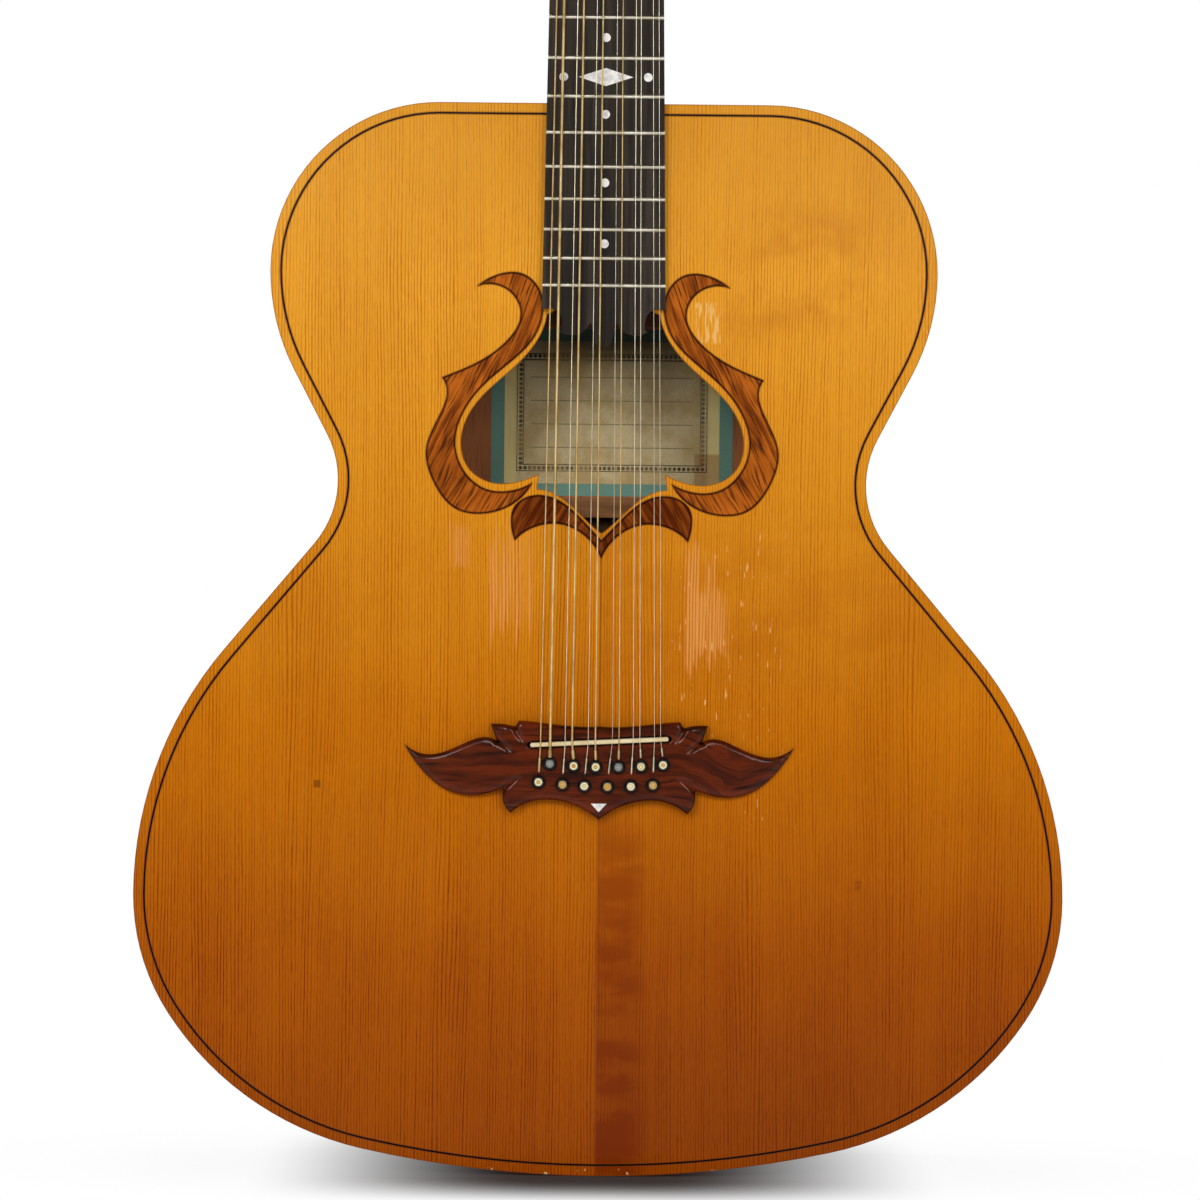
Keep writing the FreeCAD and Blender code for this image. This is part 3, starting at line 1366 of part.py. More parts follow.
shaped_subpart("tuner_plates", Part.makeCompound([machine_plate(-1), machine_plate(1)]), HEAD_UPRIGHT)

# Post with its gear and the screw that holds it: drawn about its own axis

post_step = "veneer_thickness - bushing_depth"
gear_front_text = ("-(head_thickness + plate_thickness + worm_tip_radius + gear_lift"
                   " - gear_thickness / 2)")
gear_back_text = ("-(head_thickness + plate_thickness + worm_tip_radius + gear_lift"
                  " + gear_thickness / 2)")
post = turned("post_blank", "XZ_Plane", (
    ("0", gear_back_text),
    ("post_stub_radius", gear_back_text),
    ("post_stub_radius", gear_front_text),
    ("post_hub_radius", gear_front_text),
    ("post_hub_radius", "-(head_thickness + plate_thickness + running_gap)"),
    ("post_foot_radius", "-(head_thickness + plate_thickness + running_gap)"),
    ("post_foot_radius", post_step),
    ("post_radius", post_step),
    ("post_radius", "veneer_thickness + post_waist_low"),
    ("post_waist_radius", "veneer_thickness + post_waist_low + post_radius - post_waist_radius"),
    ("post_waist_radius", "veneer_thickness + post_waist_high - post_radius + post_waist_radius"),
    ("post_radius", "veneer_thickness + post_waist_high"),
    ("post_radius", "veneer_thickness + post_above_veneer"),
    ("0", "veneer_thickness + post_above_veneer"),
), "V_Axis")
string_hole = rod(mm("post_hole_radius"),
                  Vector(-OVER, 0, value("veneer_thickness + post_hole_height")),
                  Vector(OVER, 0, value("veneer_thickness + post_hole_height")))
post_shape = post.Shape.cut(string_hole)

tooth_pitch = math.pi * mm("gear_module")
tooth_root = gear_radius - value("worm_tip_radius - worm_radius + tooth_clearance")
tooth_tip = gear_radius + value("worm_radius - worm_core_radius - tooth_clearance")
# Half widths of a gear tooth at its root and tip, in shares of the tooth pitch
tooth_root_share = 0.27
tooth_tip_share = 0.10
# Turns the gear so that a tooth stands between two turns of the worm's thread
tooth_phase_share = -0.25


def gear_wheel():
    points = []
    count = int(mm("gear_teeth"))
    for tooth in range(count):
        middle = 2 * math.pi * (tooth + tooth_phase_share) / count + math.pi / 2
        for radius, share in ((tooth_root, -tooth_root_share), (tooth_tip, -tooth_tip_share),
                              (tooth_tip, tooth_tip_share), (tooth_root, tooth_root_share)):
            angle = middle + share * tooth_pitch / radius
            points.append(Vector(radius * math.cos(angle), radius * math.sin(angle), 0))
    wheel = prism(Part.makePolygon(points + points[:1]), gear_back, gear_front)
    bore_start = Vector(0, 0, gear_back - OVER)
    return wheel.cut(Part.makeCylinder(value("post_stub_radius + running_gap"), 4 * OVER, bore_start))


gear_screw = Part.makeCylinder(mm("gear_screw_radius"), mm("screw_head_height"),
                               Vector(0, 0, gear_back - mm("screw_head_height")))
slot_half = value("screw_head_height / 4")
gear_screw = gear_screw.cut(block(-OVER, OVER, -slot_half, slot_half,
                                  gear_back - mm("screw_head_height") - OVER,
                                  gear_back - value("screw_head_height / 2")))
post_group = Part.makeCompound([post_shape, gear_wheel(), gear_screw])

# Key: a shaft with a worm that drives the gear, and a button outside the head's edge. It is
# drawn for the bass side, with its axis along X, its worm at the origin and its button at -X.

worm_pitch = tooth_pitch
worm_length = worm_pitch * mm("worm_turns")
helix = Part.makeHelix(worm_pitch, worm_length, mm("worm_core_radius"))
# Half widths of the thread at its foot and crest, in shares of its named width
thread_foot_share = 0.75
thread_crest_share = 0.3
tooth_foot = thread_foot_share * mm("worm_tooth_width")
tooth_crest = thread_crest_share * mm("worm_tooth_width")
inner, outer = value("worm_core_radius - thread_root_depth"), mm("worm_tip_radius")
thread_corners = [Vector(inner, 0, -tooth_foot), Vector(outer, 0, -tooth_crest),
                  Vector(outer, 0, tooth_crest), Vector(inner, 0, tooth_foot)]
thread_section = Part.makePolygon(thread_corners + thread_corners[:1])
thread = Part.Wire(helix).makePipeShell([thread_section], True, True)
thread.translate(Vector(0, 0, -worm_length / 2))
core_half = worm_length / 2 + worm_pitch / 2
worm = thread.fuse(rod(mm("worm_core_radius"), Vector(0, 0, -core_half), Vector(0, 0, core_half)))

head_edge = value("head_width / 2")
shaft_inner = value("key_ear_offset + key_ear_thickness")
button_start = head_edge - row_half + value("button_past_edge - button_length / 2")
shaft_outer = button_start + value("button_length / 2")
worm.Placement = Placement(Vector(), Rotation(Vector(0, 1, 0), 90))
key_shaft = rod(mm("key_shaft_radius"), Vector(-shaft_outer, 0, 0), Vector(shaft_inner, 0, 0))
button_blank = padded("button_blank", "XZ_Plane", (
    ("-button_length / 2", "-button_width / 4"),
    ("-button_length / 4", "-button_width / 2"),
    ("button_length / 4", "-button_width / 2"),
    ("button_length / 2", "-button_width / 4"),
    ("button_length / 2", "button_width / 4"),
    ("button_length / 4", "button_width / 2"),
    ("-button_length / 4", "button_width / 2"),
    ("-button_length / 2", "button_width / 4"),
), "button_thickness", both_ways=True)
rounded(button_blank, "button_round", lambda edge: True)
button = button_blank.Shape.copy()
button.translate(Vector(-(button_start + value("button_length / 2")), 0, 0))
key_shape = joined([worm, key_shaft, button])

for number in STRINGS:
    side = machine_side(number)
    place = post_place(number)
    key_copy, post_copy = key_shape, post_group
    if side > 0:
        across = Vector(1, 0, 0)
        key_copy, post_copy = key_shape.mirror(Vector(), across), post_group.mirror(Vector(), across)
    key_place = Placement(Vector(place.x, place.y + worm_offset, worm_height), Rotation())
    shaped_subpart(f"tuner_key_{number + 1}", key_copy, HEAD_UPRIGHT.multiply(key_place))
    shaped_subpart(f"tuner_post_{number + 1}", post_copy, HEAD_UPRIGHT.multiply(Placement(place, Rotation())))

# Check and write every piece

doc.recompute()
for item in doc.Objects:
    if "Invalid" in item.State or "Error" in item.State:
        raise RuntimeError(f"{item.Label} did not build: {item.State}")
os.makedirs("parts", exist_ok=True)
for item in subparts:
    if item.Shape.isNull() or not item.Shape.isValid():
        raise RuntimeError(f"{item.Label} has no valid shape")
    item.Shape.exportStep(os.path.join("parts", item.Label + ".step"))
    print(f"{item.Label}: {len(item.Shape.Solids)} solids, {item.Shape.Volume:.1f} mm3")
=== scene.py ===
import json
import math

import bmesh
import bpy
import numpy as np
from mathutils import Matrix, Vector
from mathutils.geometry import delaunay_2d_cdt


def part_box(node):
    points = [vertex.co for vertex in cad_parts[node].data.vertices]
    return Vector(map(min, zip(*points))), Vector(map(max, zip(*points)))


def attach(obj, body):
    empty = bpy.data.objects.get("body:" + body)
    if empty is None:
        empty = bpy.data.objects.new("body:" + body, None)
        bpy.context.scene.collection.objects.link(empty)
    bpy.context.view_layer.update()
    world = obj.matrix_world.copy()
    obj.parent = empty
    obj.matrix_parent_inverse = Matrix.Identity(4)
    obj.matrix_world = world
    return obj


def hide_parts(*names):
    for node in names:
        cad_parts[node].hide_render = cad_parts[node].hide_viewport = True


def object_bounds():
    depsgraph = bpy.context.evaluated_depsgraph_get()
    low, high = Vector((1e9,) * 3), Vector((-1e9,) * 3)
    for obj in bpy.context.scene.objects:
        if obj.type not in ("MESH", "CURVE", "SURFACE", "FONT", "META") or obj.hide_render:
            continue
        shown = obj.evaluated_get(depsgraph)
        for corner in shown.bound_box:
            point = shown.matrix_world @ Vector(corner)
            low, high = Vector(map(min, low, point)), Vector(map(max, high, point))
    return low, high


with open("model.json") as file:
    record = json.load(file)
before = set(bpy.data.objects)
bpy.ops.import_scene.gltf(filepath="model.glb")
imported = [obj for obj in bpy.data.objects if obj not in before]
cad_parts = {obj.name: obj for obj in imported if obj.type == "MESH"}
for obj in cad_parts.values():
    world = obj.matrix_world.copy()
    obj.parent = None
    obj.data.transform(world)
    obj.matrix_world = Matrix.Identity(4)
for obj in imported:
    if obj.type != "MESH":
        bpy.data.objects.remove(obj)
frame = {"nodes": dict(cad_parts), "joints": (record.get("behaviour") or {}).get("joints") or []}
cad_box = [list(corner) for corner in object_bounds()]
nodes = frame["nodes"]
MM = 0.001
soundboard_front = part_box("soundboard_bass_half")[0].y

# Soundboard: two matched spruce boards, joined on the centre line so that their grain mirrors.
# The quarter-sawn wood shows fine rings, and old varnish makes it amber; its colour grows darker and
# redder towards the tail.


class Signal:
    """A socket of a material. Sums on signals add Math nodes, and node() adds any other node."""

    def __init__(self, tree, socket=None):
        self.tree, self.socket = tree, socket

    def node(self, kind, settings=None, sockets=None, out=0):
        made = self.tree.nodes.new("ShaderNode" + kind)
        for name, setting in (settings or {}).items():
            if name == "stops":
                stops = made.color_ramp.elements
                for _ in setting[2:]:
                    stops.new(1)
                for stop, (position, colour) in zip(stops, setting):
                    stop.position, stop.color = position, colour
            elif name == "ramp":
                made.color_ramp.interpolation = setting
            else:
                setattr(made, name, setting)
        for name, value in (sockets or {}).items():
            if isinstance(value, Signal):
                self.tree.links.new(value.socket, made.inputs[name])
            else:
                made.inputs[name].default_value = value
        return Signal(self.tree, made.outputs[out] if made.outputs else None)

    def maths(self, operation, *values):
        return self.node("Math", {"operation": operation}, dict(enumerate(values)))

    def __add__(self, other):
        return self.maths("ADD", self, other)

    def __sub__(self, other):
        return self.maths("SUBTRACT", self, other)

    def __rsub__(self, other):
        return self.maths("SUBTRACT", other, self)

    def __mul__(self, other):
        return self.maths("MULTIPLY", self, other)

    def __truediv__(self, other):
        return self.maths("DIVIDE", self, other)

    def __pow__(self, other):
        return self.maths("POWER", self, other)

    __radd__, __rmul__ = __add__, __mul__

    def __abs__(self):
        return self.maths("ABSOLUTE", self)

    def output(self, name):
        return Signal(self.tree, self.socket.node.outputs[name])

    def place(self):
        """A point of the piece, in metres."""
        return self.node("TexCoord", out="Object")

    def split(self):
        across = self.node("SeparateXYZ", {}, {0: self})
        return across, across.output(1), across.output(2)

    def stretched(self, *factors):
        return self.node("VectorMath", {"operation": "MULTIPLY"}, {0: self, 1: factors})

    def noise(self, scale, detail=2.0, roughness=0.5):
        return self.node("TexNoise", {}, {"Vector": self, "Scale": scale, "Detail": detail,
                                          "Roughness": roughness})

    def ramp(self, start, end):
        """0 before start and 1 after end, smooth between."""
        return self.node("MapRange", {"interpolation_type": "SMOOTHSTEP"},
                         {"Value": self, "From Min": start, "From Max": end})

    def wave(self, pitch):
        """A sine that comes back after each pitch."""
        return self.maths("SINE", self * (2 * math.pi / pitch))

    def mix(self, first, second):
        """The first colour where the signal is 0 and the second where it is 1."""
        return self.node("Mix", {"data_type": "RGBA"}, {0: self, 6: first, 7: second}, out=2)

    def near_edge(self, reach):
        """1 on an edge of the piece, fading to 0 where the surface is flat within reach."""
        rounded = self.node("Bevel", {"samples": 12}, {"Radius": reach})
        flat = self.node("NewGeometry", out="Normal")
        along = self.node("VectorMath", {"operation": "DOT_PRODUCT"}, {0: rounded, 1: flat},
                          out="Value")
        return (1 - along).ramp(0, 0.008)

    def shader(self, colour, roughness, height=None, depth=0.0, **constants):
        """Ends the material: varying inputs are signals, and depth is the relief in metres."""
        sockets = {"Base Color": colour, "Roughness": roughness}
        if height is not None:
            sockets["Normal"] = self.node("Bump", {}, {"Height": height, "Distance": depth,
                                                       "Strength": 1.0})
        sockets.update({name.replace("_", " "): value for name, value in constants.items()})
        principled = self.node("BsdfPrincipled", {}, sockets)
        self.node("OutputMaterial", {}, {"Surface": principled})


def finish(name):
    material = bpy.data.materials.new(name)
    material.use_nodes = True
    material.node_tree.nodes.clear()
    return material, Signal(material.node_tree)


def paint(red, green, blue):
    """A colour as the eye names it, 0 to 255, in the light that shaders work in."""
    shares = [part / 255 for part in (red, green, blue)]
    linear = [share / 12.92 if share <= 0.04045 else ((share + 0.055) / 1.055) ** 2.4
              for share in shares]
    return (*linear, 1.0)


def dress(material, *names):
    for name in names:
        for held in nodes[name].material_slots:
            held.material = material


def year_rings(ground, point, x, z):
    """The wave of the rings, the dark rings themselves, and the whole grain, alike on both halves."""
    mirrored = ground.node("CombineXYZ", {}, {0: abs(x), 1: 0.0, 2: z})
    drift = mirrored.stretched(24, 0, 2.0).noise(1, 2)
    wander = mirrored.stretched(1, 0, 0.08).noise(240, 2)
    across = abs(x) + drift * (14 * MM) + wander * (1.6 * MM)
    bent = ground.node("CombineXYZ", {}, {0: across, 1: 0.0, 2: z})
    strength = bent.stretched(1, 0, 0.02).noise(300, 2).ramp(0.25, 0.7)
    breaks = point.stretched(1, 0, 0.12).noise(800, 2).ramp(0.30, 0.60)
    wave = across.wave(1.55 * MM)
    rings = wave.ramp(0.1, 0.95) * (strength * 0.75 + 0.3) * (breaks * 0.5 + 0.5)
    bands = bent.stretched(1, 0, 0.1).noise(42, 3)
    silk = point.stretched(1, 1, 0.22).noise(1100, 3, 0.6)
    cloud = point.stretched(1, 1, 0.7).noise(13, 4, 0.6)
    grain = rings * 0.95 + bands * 0.45 + silk * 0.7 + cloud * 0.85 - 0.86
    return wave, rings, grain


def darker_towards_tail(z, *stops):
    """Darker and redder towards the tail: each stop is a share of the way up."""
    body_length = 530 * MM
    height = z / body_length
    return height.node("ValToRGB", {"stops": tuple((share, paint(*colour))
                                                   for share, colour in stops)}, {0: height})


def stained(colour, dark, point, x, z):
    """The treble half's darker places: along the seam, and a rubbed cloud in its upper bout."""
    curl = point.stretched(0.7, 1, 1.8).noise(38, 3).ramp(0.36, 0.62)
    below_bridge = z.ramp(200 * MM, 150 * MM) * x.ramp(30 * MM, 14 * MM) * (curl * 0.5 + 0.2)
    above_bridge = abs(z - 290 * MM).ramp(60 * MM, 20 * MM) * (curl * 0.2 + 0.08)
    treble = x.ramp(-0.4 * MM, 0.4 * MM)
    darker = below_bridge + above_bridge + z.ramp(230 * MM, 110 * MM) * 0.14 + 0.08
    colour = (treble * darker).mix(colour, dark)
    rubbed = (point.stretched(1, 1, 1.5).noise(26, 3).ramp(0.40, 0.62)
              * z.ramp(405 * MM, 430 * MM) * z.ramp(485 * MM, 460 * MM)
              * x.ramp(52 * MM, 78 * MM) * x.ramp(140 * MM, 112 * MM))
    return (rubbed * 0.5).mix(colour, paint(190, 108, 30))


def played(colour, wave, point, x, z):
    """Where a plectrum and fingertips have gone through the varnish, between the rings."""
    ragged = point.stretched(1, 0, 0).noise(420, 2) - 0.5

    def patch(left, right, low, high, rough=0):
        """1 inside a box with soft edges, in millimetres across and up, whose ends are rough."""
        across = abs(x - (left + right) / 2 * MM)
        up = abs(z + ragged * (rough * MM) - (low + high) / 2 * MM)
        half, tall = (right - left) / 2 * MM, (high - low) / 2 * MM
        return across.ramp(half, half * 0.7) * up.ramp(tall, tall * 0.8)

    stripes = wave.ramp(0.6, -0.4) * point.stretched(1, 0, 0.012).noise(700, 2).ramp(0.40, 0.54)
    worn = (patch(-76, -64, 299, 321, 40) + patch(-57, -32, 268, 321, 70)
            + patch(43, 65, 255, 289, 50) + patch(50, 57, 280, 308, 40)
            + patch(41, 49, 247, 315, 30))
    worn = worn * (point.stretched(1, 1, 0.3).noise(90, 2).ramp(0.30, 0.50) * 0.5 + 0.5)
    bare = patch(45, 62, 258, 286, 50) * 0.24
    colour = (worn * (stripes * 0.95 + 0.12) + bare).mix(colour, paint(226, 150, 74))
    scuffed = patch(44, 59, 410, 432) * point.stretched(1, 0, 0.16).noise(500, 3).ramp(0.47, 0.57)
    colour = (scuffed * 0.7).mix(colour, paint(244, 194, 118))
    specked = (patch(28, 96, 200, 330) + patch(70, 84, 168, 196) + patch(43, 58, 410, 434) * 1.6
               + patch(47, 53, 227, 238) * 2)
    flecks = point.stretched(1, 0, 0.16).noise(700, 3).ramp(0.64, 0.70)
    colour = (specked * flecks * 0.6).mix(colour, paint(244, 196, 130))
    dent = patch(-141, -137, 190, 194) + patch(126.5, 130, 142, 147) * 0.6
    return (dent * 0.6).mix(colour, paint(96, 48, 12))


def spruce_top():
    material, ground = finish("varnished_spruce")
    point = ground.place()
    x, _, z = point.split()
    wave, rings, grain = year_rings(ground, point, x, z)
    pale = darker_towards_tail(z, (0.0, (167, 80, 0)), (0.20, (182, 93, 2)), (0.42, (208, 122, 12)),
                (0.62, (227, 150, 32)), (0.84, (242, 168, 48)), (0.98, (228, 158, 46)))
    dark = darker_towards_tail(z, (0.0, (120, 42, 0)), (0.20, (134, 52, 0)), (0.42, (168, 82, 6)),
                (0.62, (190, 106, 16)), (0.90, (198, 120, 28)))
    colour = stained(grain.mix(pale, dark), dark, point, x, z)
    colour = played(colour, wave, point, x, z)
    # Chips at the tail, where the guitar stands, and a darker line along the cut edges
    chips = z.ramp(4 * MM, 2.4 * MM) * point.noise(160, 2).ramp(0.60, 0.64)
    colour = chips.mix(colour, paint(226, 190, 130))
    colour = (ground.near_edge(0.9 * MM) * 0.55).mix(colour, paint(120, 58, 22))
    sheen = point.stretched(1, 1, 0.22).noise(1100, 3, 0.6) * 0.05 + 0.12
    ground.shader(colour, sheen, rings, 0.02 * MM, Specular_IOR_Level=0.06)
    return material


dress(spruce_top(), "soundboard_bass_half", "soundboard_treble_half")

# Purfling: a black line let into the soundboard near its edge.
# It is a thin strip of dyed veneer, levelled with the wood.


def dyed_veneer():
    material, ground = finish("dyed_veneer")
    fibres = ground.place().stretched(1, 1, 0.2).noise(900)
    ground.shader(fibres.mix(paint(8, 4, 2), paint(22, 12, 7)), 0.3, Specular_IOR_Level=0.05)
    return material


dress(dyed_veneer(), "top_purfling")

# Scroll inlays: two scrolls and a leaf of figured rosewood, let into the soundboard round the hole.
# Their edges were burnt dark in hot sand before they were glued in.


def scroll_wood():
    material, ground = finish("scroll_rosewood")
    point = ground.place()
    x, _, z = point.split()
    lean = ground.node("CombineXYZ", {}, {0: abs(x) * 0.91 + z * 0.42, 1: 0.0,
                                          2: z * 0.91 - abs(x) * 0.42})
    wave = lean.noise(24, 1) * (10 * MM)
    across, _, along = lean.split()
    fibre = ground.node("CombineXYZ", {}, {0: across + wave, 1: 0.0, 2: along * 0.06})
    streak = fibre.noise(300, 3, 0.62)
    fine = fibre.noise(1100, 2)
    blotch = point.noise(60, 2)
    colour = (streak * 0.75 + blotch * 0.35).ramp(0.40, 0.72).mix(paint(198, 104, 26),
                                                                 paint(116, 52, 10))
    colour = (fine.ramp(0.50, 0.64) * 0.8).mix(colour, paint(58, 26, 10))
    # The two leaves lie below a slanting line on each side
    leaf = (z + abs(x) * 0.98).ramp(372.8 * MM, 371.8 * MM)
    colour = (leaf * (streak.ramp(0.35, 0.6) * 0.4 + 0.5)).mix(colour, paint(76, 24, 4))
    burnt = ground.near_edge(1.9 * MM)
    colour = (burnt * 0.9).mix(colour, paint(40, 15, 5))
    ground.shader(colour, 0.12 + fine * 0.05, fine, 0.02 * MM, Specular_IOR_Level=0.1)
    return material


dress(scroll_wood(), "scroll_inlays")

# Back and sides: thin boards of dark reddish rosewood, polished outside and bare inside.
# The back is two matched boards, joined on the centre line, and the sides are bent round over heat,
# with their grain along the bend.


def timber(name, pale, dark, fibre, gloss, shine=0.15, pores=0.5, inside=None, hole_shaded=False):
    """A plain wood: fibre gives how many grain lines a metre lie along X, Y and Z.

    The colour inside is for the face that looks into the body. Where asked, the wood is painted darker
    behind both ends of the sound hole, standing in for the shade that falls there.
    """
    material, ground = finish(name)
    point = ground.place()
    drift = point.noise(7, 2)
    sway = 20 * MM
    bent = point.node("VectorMath", {"operation": "MULTIPLY_ADD"},
                      {0: drift.output("Color"), 1: (sway, sway, sway), 2: point})
    grain = bent.stretched(*fibre).noise(1, 3, 0.6)
    fine = bent.stretched(*fibre).noise(5, 2)
    colour = grain.ramp(0.34, 0.66).mix(paint(*dark), paint(*pale))
    if inside:
        _, facing, _ = ground.node("NewGeometry", out="Normal").split()
        bare = grain.mix(paint(*inside), paint(*(part * 0.8 for part in inside)))
        colour = facing.ramp(-0.6, -0.9).mix(colour, bare)
    colour = (fine.ramp(0.55, 0.75) * pores).mix(colour, paint(*(part * 0.6 for part in dark)))
    if inside or hole_shaded:
        # Painted shade: darker behind the upper and the lower end of the sound hole, where the
        # soundboard and the fretboard's end shade the inside
        _, _, z = point.split()
        upper = z.ramp(420 * MM, 426 * MM) * z.ramp(460 * MM, 450 * MM)
        lower = z.ramp(325.5 * MM, 323.5 * MM) * z.ramp(300 * MM, 310 * MM)
        painted_shade = upper + lower
        if inside:
            painted_shade = painted_shade * facing.ramp(-0.6, -0.9)
        colour = (painted_shade * 0.8).mix(colour, paint(26, 18, 12))
    ground.shader(colour, gloss + fine * 0.12, fine, 0.04 * MM, Specular_IOR_Level=shine)
    return material


dress(timber("back_rosewood", (112, 58, 34), (62, 28, 18), (130, 130, 6), 0.3,
             inside=(196, 118, 66)),
      "back_bass_half", "back_treble_half")
dress(timber("side_rosewood", (108, 56, 33), (64, 29, 18), (8, 130, 8), 0.3),
      "side_bass", "side_treble")
dress(timber("wedge_rosewood", (74, 36, 22), (40, 18, 12), (300, 300, 12), 0.3), "tail_wedge")

# Inside: spruce braces and linings, and hardwood blocks and bridge plate, all left bare.
# They are split or sawn along the grain and glued to the boards that they hold.

dress(timber("bare_spruce", (206, 168, 116), (172, 130, 80), (160, 160, 9), 0.7, 0.1, 0.2),
      "top_linings", "back_linings", "top_braces")
dress(timber("bare_mahogany", (152, 106, 68), (120, 80, 50), (9, 160, 160), 0.7, 0.1, 0.4,
             hole_shaded=True),
      "back_braces")
# The blocks and the bridge plate are painted dark as shade, because the neck block shows through the
# sound hole where the inside lies in shade
dress(timber("hardwood_painted_shade", (86, 54, 34), (60, 36, 22), (12, 90, 90), 0.7, 0.1),
      "neck_block", "tail_block", "bridge_plate")

# Label: a card glued to the back, with a sheet of old cream paper on it.
# The paper has a plain double border and ruled lines.


def old_paper():
    material, ground = finish("label_card")
    point = ground.place()
    x, _, z = point.split()
    stain = point.noise(45, 4, 0.6)
    fibres = point.noise(900, 2)
    low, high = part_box("paper_label")
    card_middle = (low + high) / 2
    across, up = abs(x - card_middle.x), abs(z - card_middle.z)
    paper_wide, paper_high = 55.3 * MM, 36.6 * MM

    def within(inset):
        """1 inside the paper's edge less an inset, and 0 outside it."""
        wide, high = paper_wide - inset, paper_high - inset
        return across.ramp(wide, wide - 0.1 * MM) * up.ramp(high, high - 0.1 * MM)

    def frame_line(inset, width):
        return within(inset) * (1 - within(inset + width))

    card = fibres.mix(paint(110, 152, 136), paint(130, 170, 152))
    paper = stain.ramp(0.35, 0.68).mix(paint(228, 208, 160), paint(200, 172, 116))
    paper = (fibres.ramp(0.4, 0.7) * 0.25).mix(paper, paint(176, 154, 108))
    # The paper's left and right margins are yellowed by glue, and are also painted paler to lift the
    # shade that the hole's rim casts on them
    margin = across.ramp(47 * MM, 51 * MM)
    paper = (margin * (point.noise(60, 2) * 0.5 + 0.5)).mix(paper, paint(255, 236, 158))
    tape_middle = 351 * MM
    tape = (x - card_middle.x).ramp(42 * MM, 43 * MM) * abs(z - tape_middle).ramp(9 * MM, 7.5 * MM)
    paper = (tape * 0.55).mix(paper, paint(168, 112, 58))
    bead = abs(x.wave(4.8 * MM) * z.wave(4.8 * MM))
    border = (frame_line(6.2 * MM, 0.5 * MM) + frame_line(9.4 * MM, 0.6 * MM)
              + frame_line(6.9 * MM, 2.4 * MM) * bead.ramp(0.2, 0.5))
    ruled = sum(abs(z - card_middle.z - row * MM).ramp(0.3 * MM, 0.15 * MM)
                for row in (18, 6, -6, -18))
    ruled = ruled * across.ramp(42 * MM, 41.6 * MM)
    ink = (border + ruled * 0.7) * stain.ramp(0.9, 0.3)
    paper = ink.mix(paper, paint(46, 40, 30))
    colour = within(0).mix(card, paper)
    # Painted shade: darker towards its top and middle, under the end of the fretboard, whose shadow
    # falls there
    painted_shade = (z - card_middle.z).ramp(20 * MM, 37 * MM) * (across.ramp(56 * MM, 16 * MM) * 0.35 + 0.5)
    colour = painted_shade.mix(colour, paint(34, 28, 20))
    ground.shader(colour, 0.8, fibres, 0.03 * MM, Specular_IOR_Level=0.1)
    return material


dress(old_paper(), "paper_label")

# Neck, fretboard, head veneer and heel cap: a mahogany neck faced with ebony.
# The ebony is close-grained, nearly black and only waxed.

dress(timber("neck_mahogany", (122, 66, 38), (84, 40, 22), (120, 120, 8), 0.35), "neck")


def ebony():
    material, ground = finish("ebony")
    point = ground.place()
    grain = point.stretched(1, 1, 0.03).noise(260, 3, 0.6)
    pores = point.stretched(1, 1, 0.06).noise(1400, 2)
    worn = point.noise(30, 2)
    colour = grain.ramp(0.35, 0.7).mix(paint(34, 28, 22), paint(62, 53, 44))
    colour = (pores.ramp(0.58, 0.72) * 0.5).mix(colour, paint(22, 18, 15))
    ground.shader(colour, 0.4 + worn * 0.14, pores, 0.05 * MM, Specular_IOR_Level=0.08)
    return material


dress(ebony(), "fretboard", "head_veneer", "heel_cap", "truss_rod_cover")

# Frets, nut, saddle: the frets are nickel wire with a barbed foot, pressed into sawn slots.
# The nut and the saddle are bars of bone, filed to shape, polished, and held by the strings.


def metal(name, bright, dull, gloss):
    material, ground = finish(name)
    point = ground.place()
    scratches = point.stretched(1, 1, 0.2).noise(600, 3)
    haze = point.noise(90, 3)
    colour = haze.ramp(0.4, 0.75).mix(paint(*bright), paint(*dull))
    ground.shader(colour, gloss + scratches * 0.12, scratches, 0.01 * MM, Metallic=1.0)
    return material


dress(metal("fret_nickel", (214, 208, 190), (170, 160, 136), 0.25), "frets")


def bone():
    material, ground = finish("bone")
    point = ground.place()
    veins = point.stretched(0.15, 1, 1).noise(700, 3)
    age = point.noise(120, 2)
    colour = age.ramp(0.3, 0.7).mix(paint(240, 226, 186), paint(220, 196, 144))
    colour = (veins.ramp(0.55, 0.75) * 0.3).mix(colour, paint(196, 164, 112))
    ground.shader(colour, 0.28 + veins * 0.1, veins, 0.02 * MM, Specular_IOR_Level=0.4)
    return material


dress(bone(), "nut", "saddle")

# Pearl: dots, a diamond and a small triangle, sawn from thin sheets of sea shell.
# They are let into the ebony and the bridge, glued, and levelled with the wood.


def pearl():
    material, ground = finish("pearl")
    point = ground.place()
    layers = point.node("TexWave", {"wave_type": "BANDS"},
                        {"Vector": point, "Scale": 160.0, "Distortion": 9.0, "Detail": 2.0})
    clouds = point.noise(420, 2)
    colour = clouds.ramp(0.35, 0.65).mix(paint(250, 248, 240), paint(206, 208, 206))
    colour = (layers * 0.35).mix(colour, paint(236, 222, 216))
    ground.shader(colour, 0.2 + layers * 0.1, Coat_Weight=0.5, Coat_Roughness=0.08)
    return material


dress(pearl(), "pearl_inlays")

# Bridge: one block of rosewood, glued to the soundboard and carved by hand. Its wings hollow down
# to thin tips, its upper edges are rounded over, and knife cuts part the wings, leaves and feet.


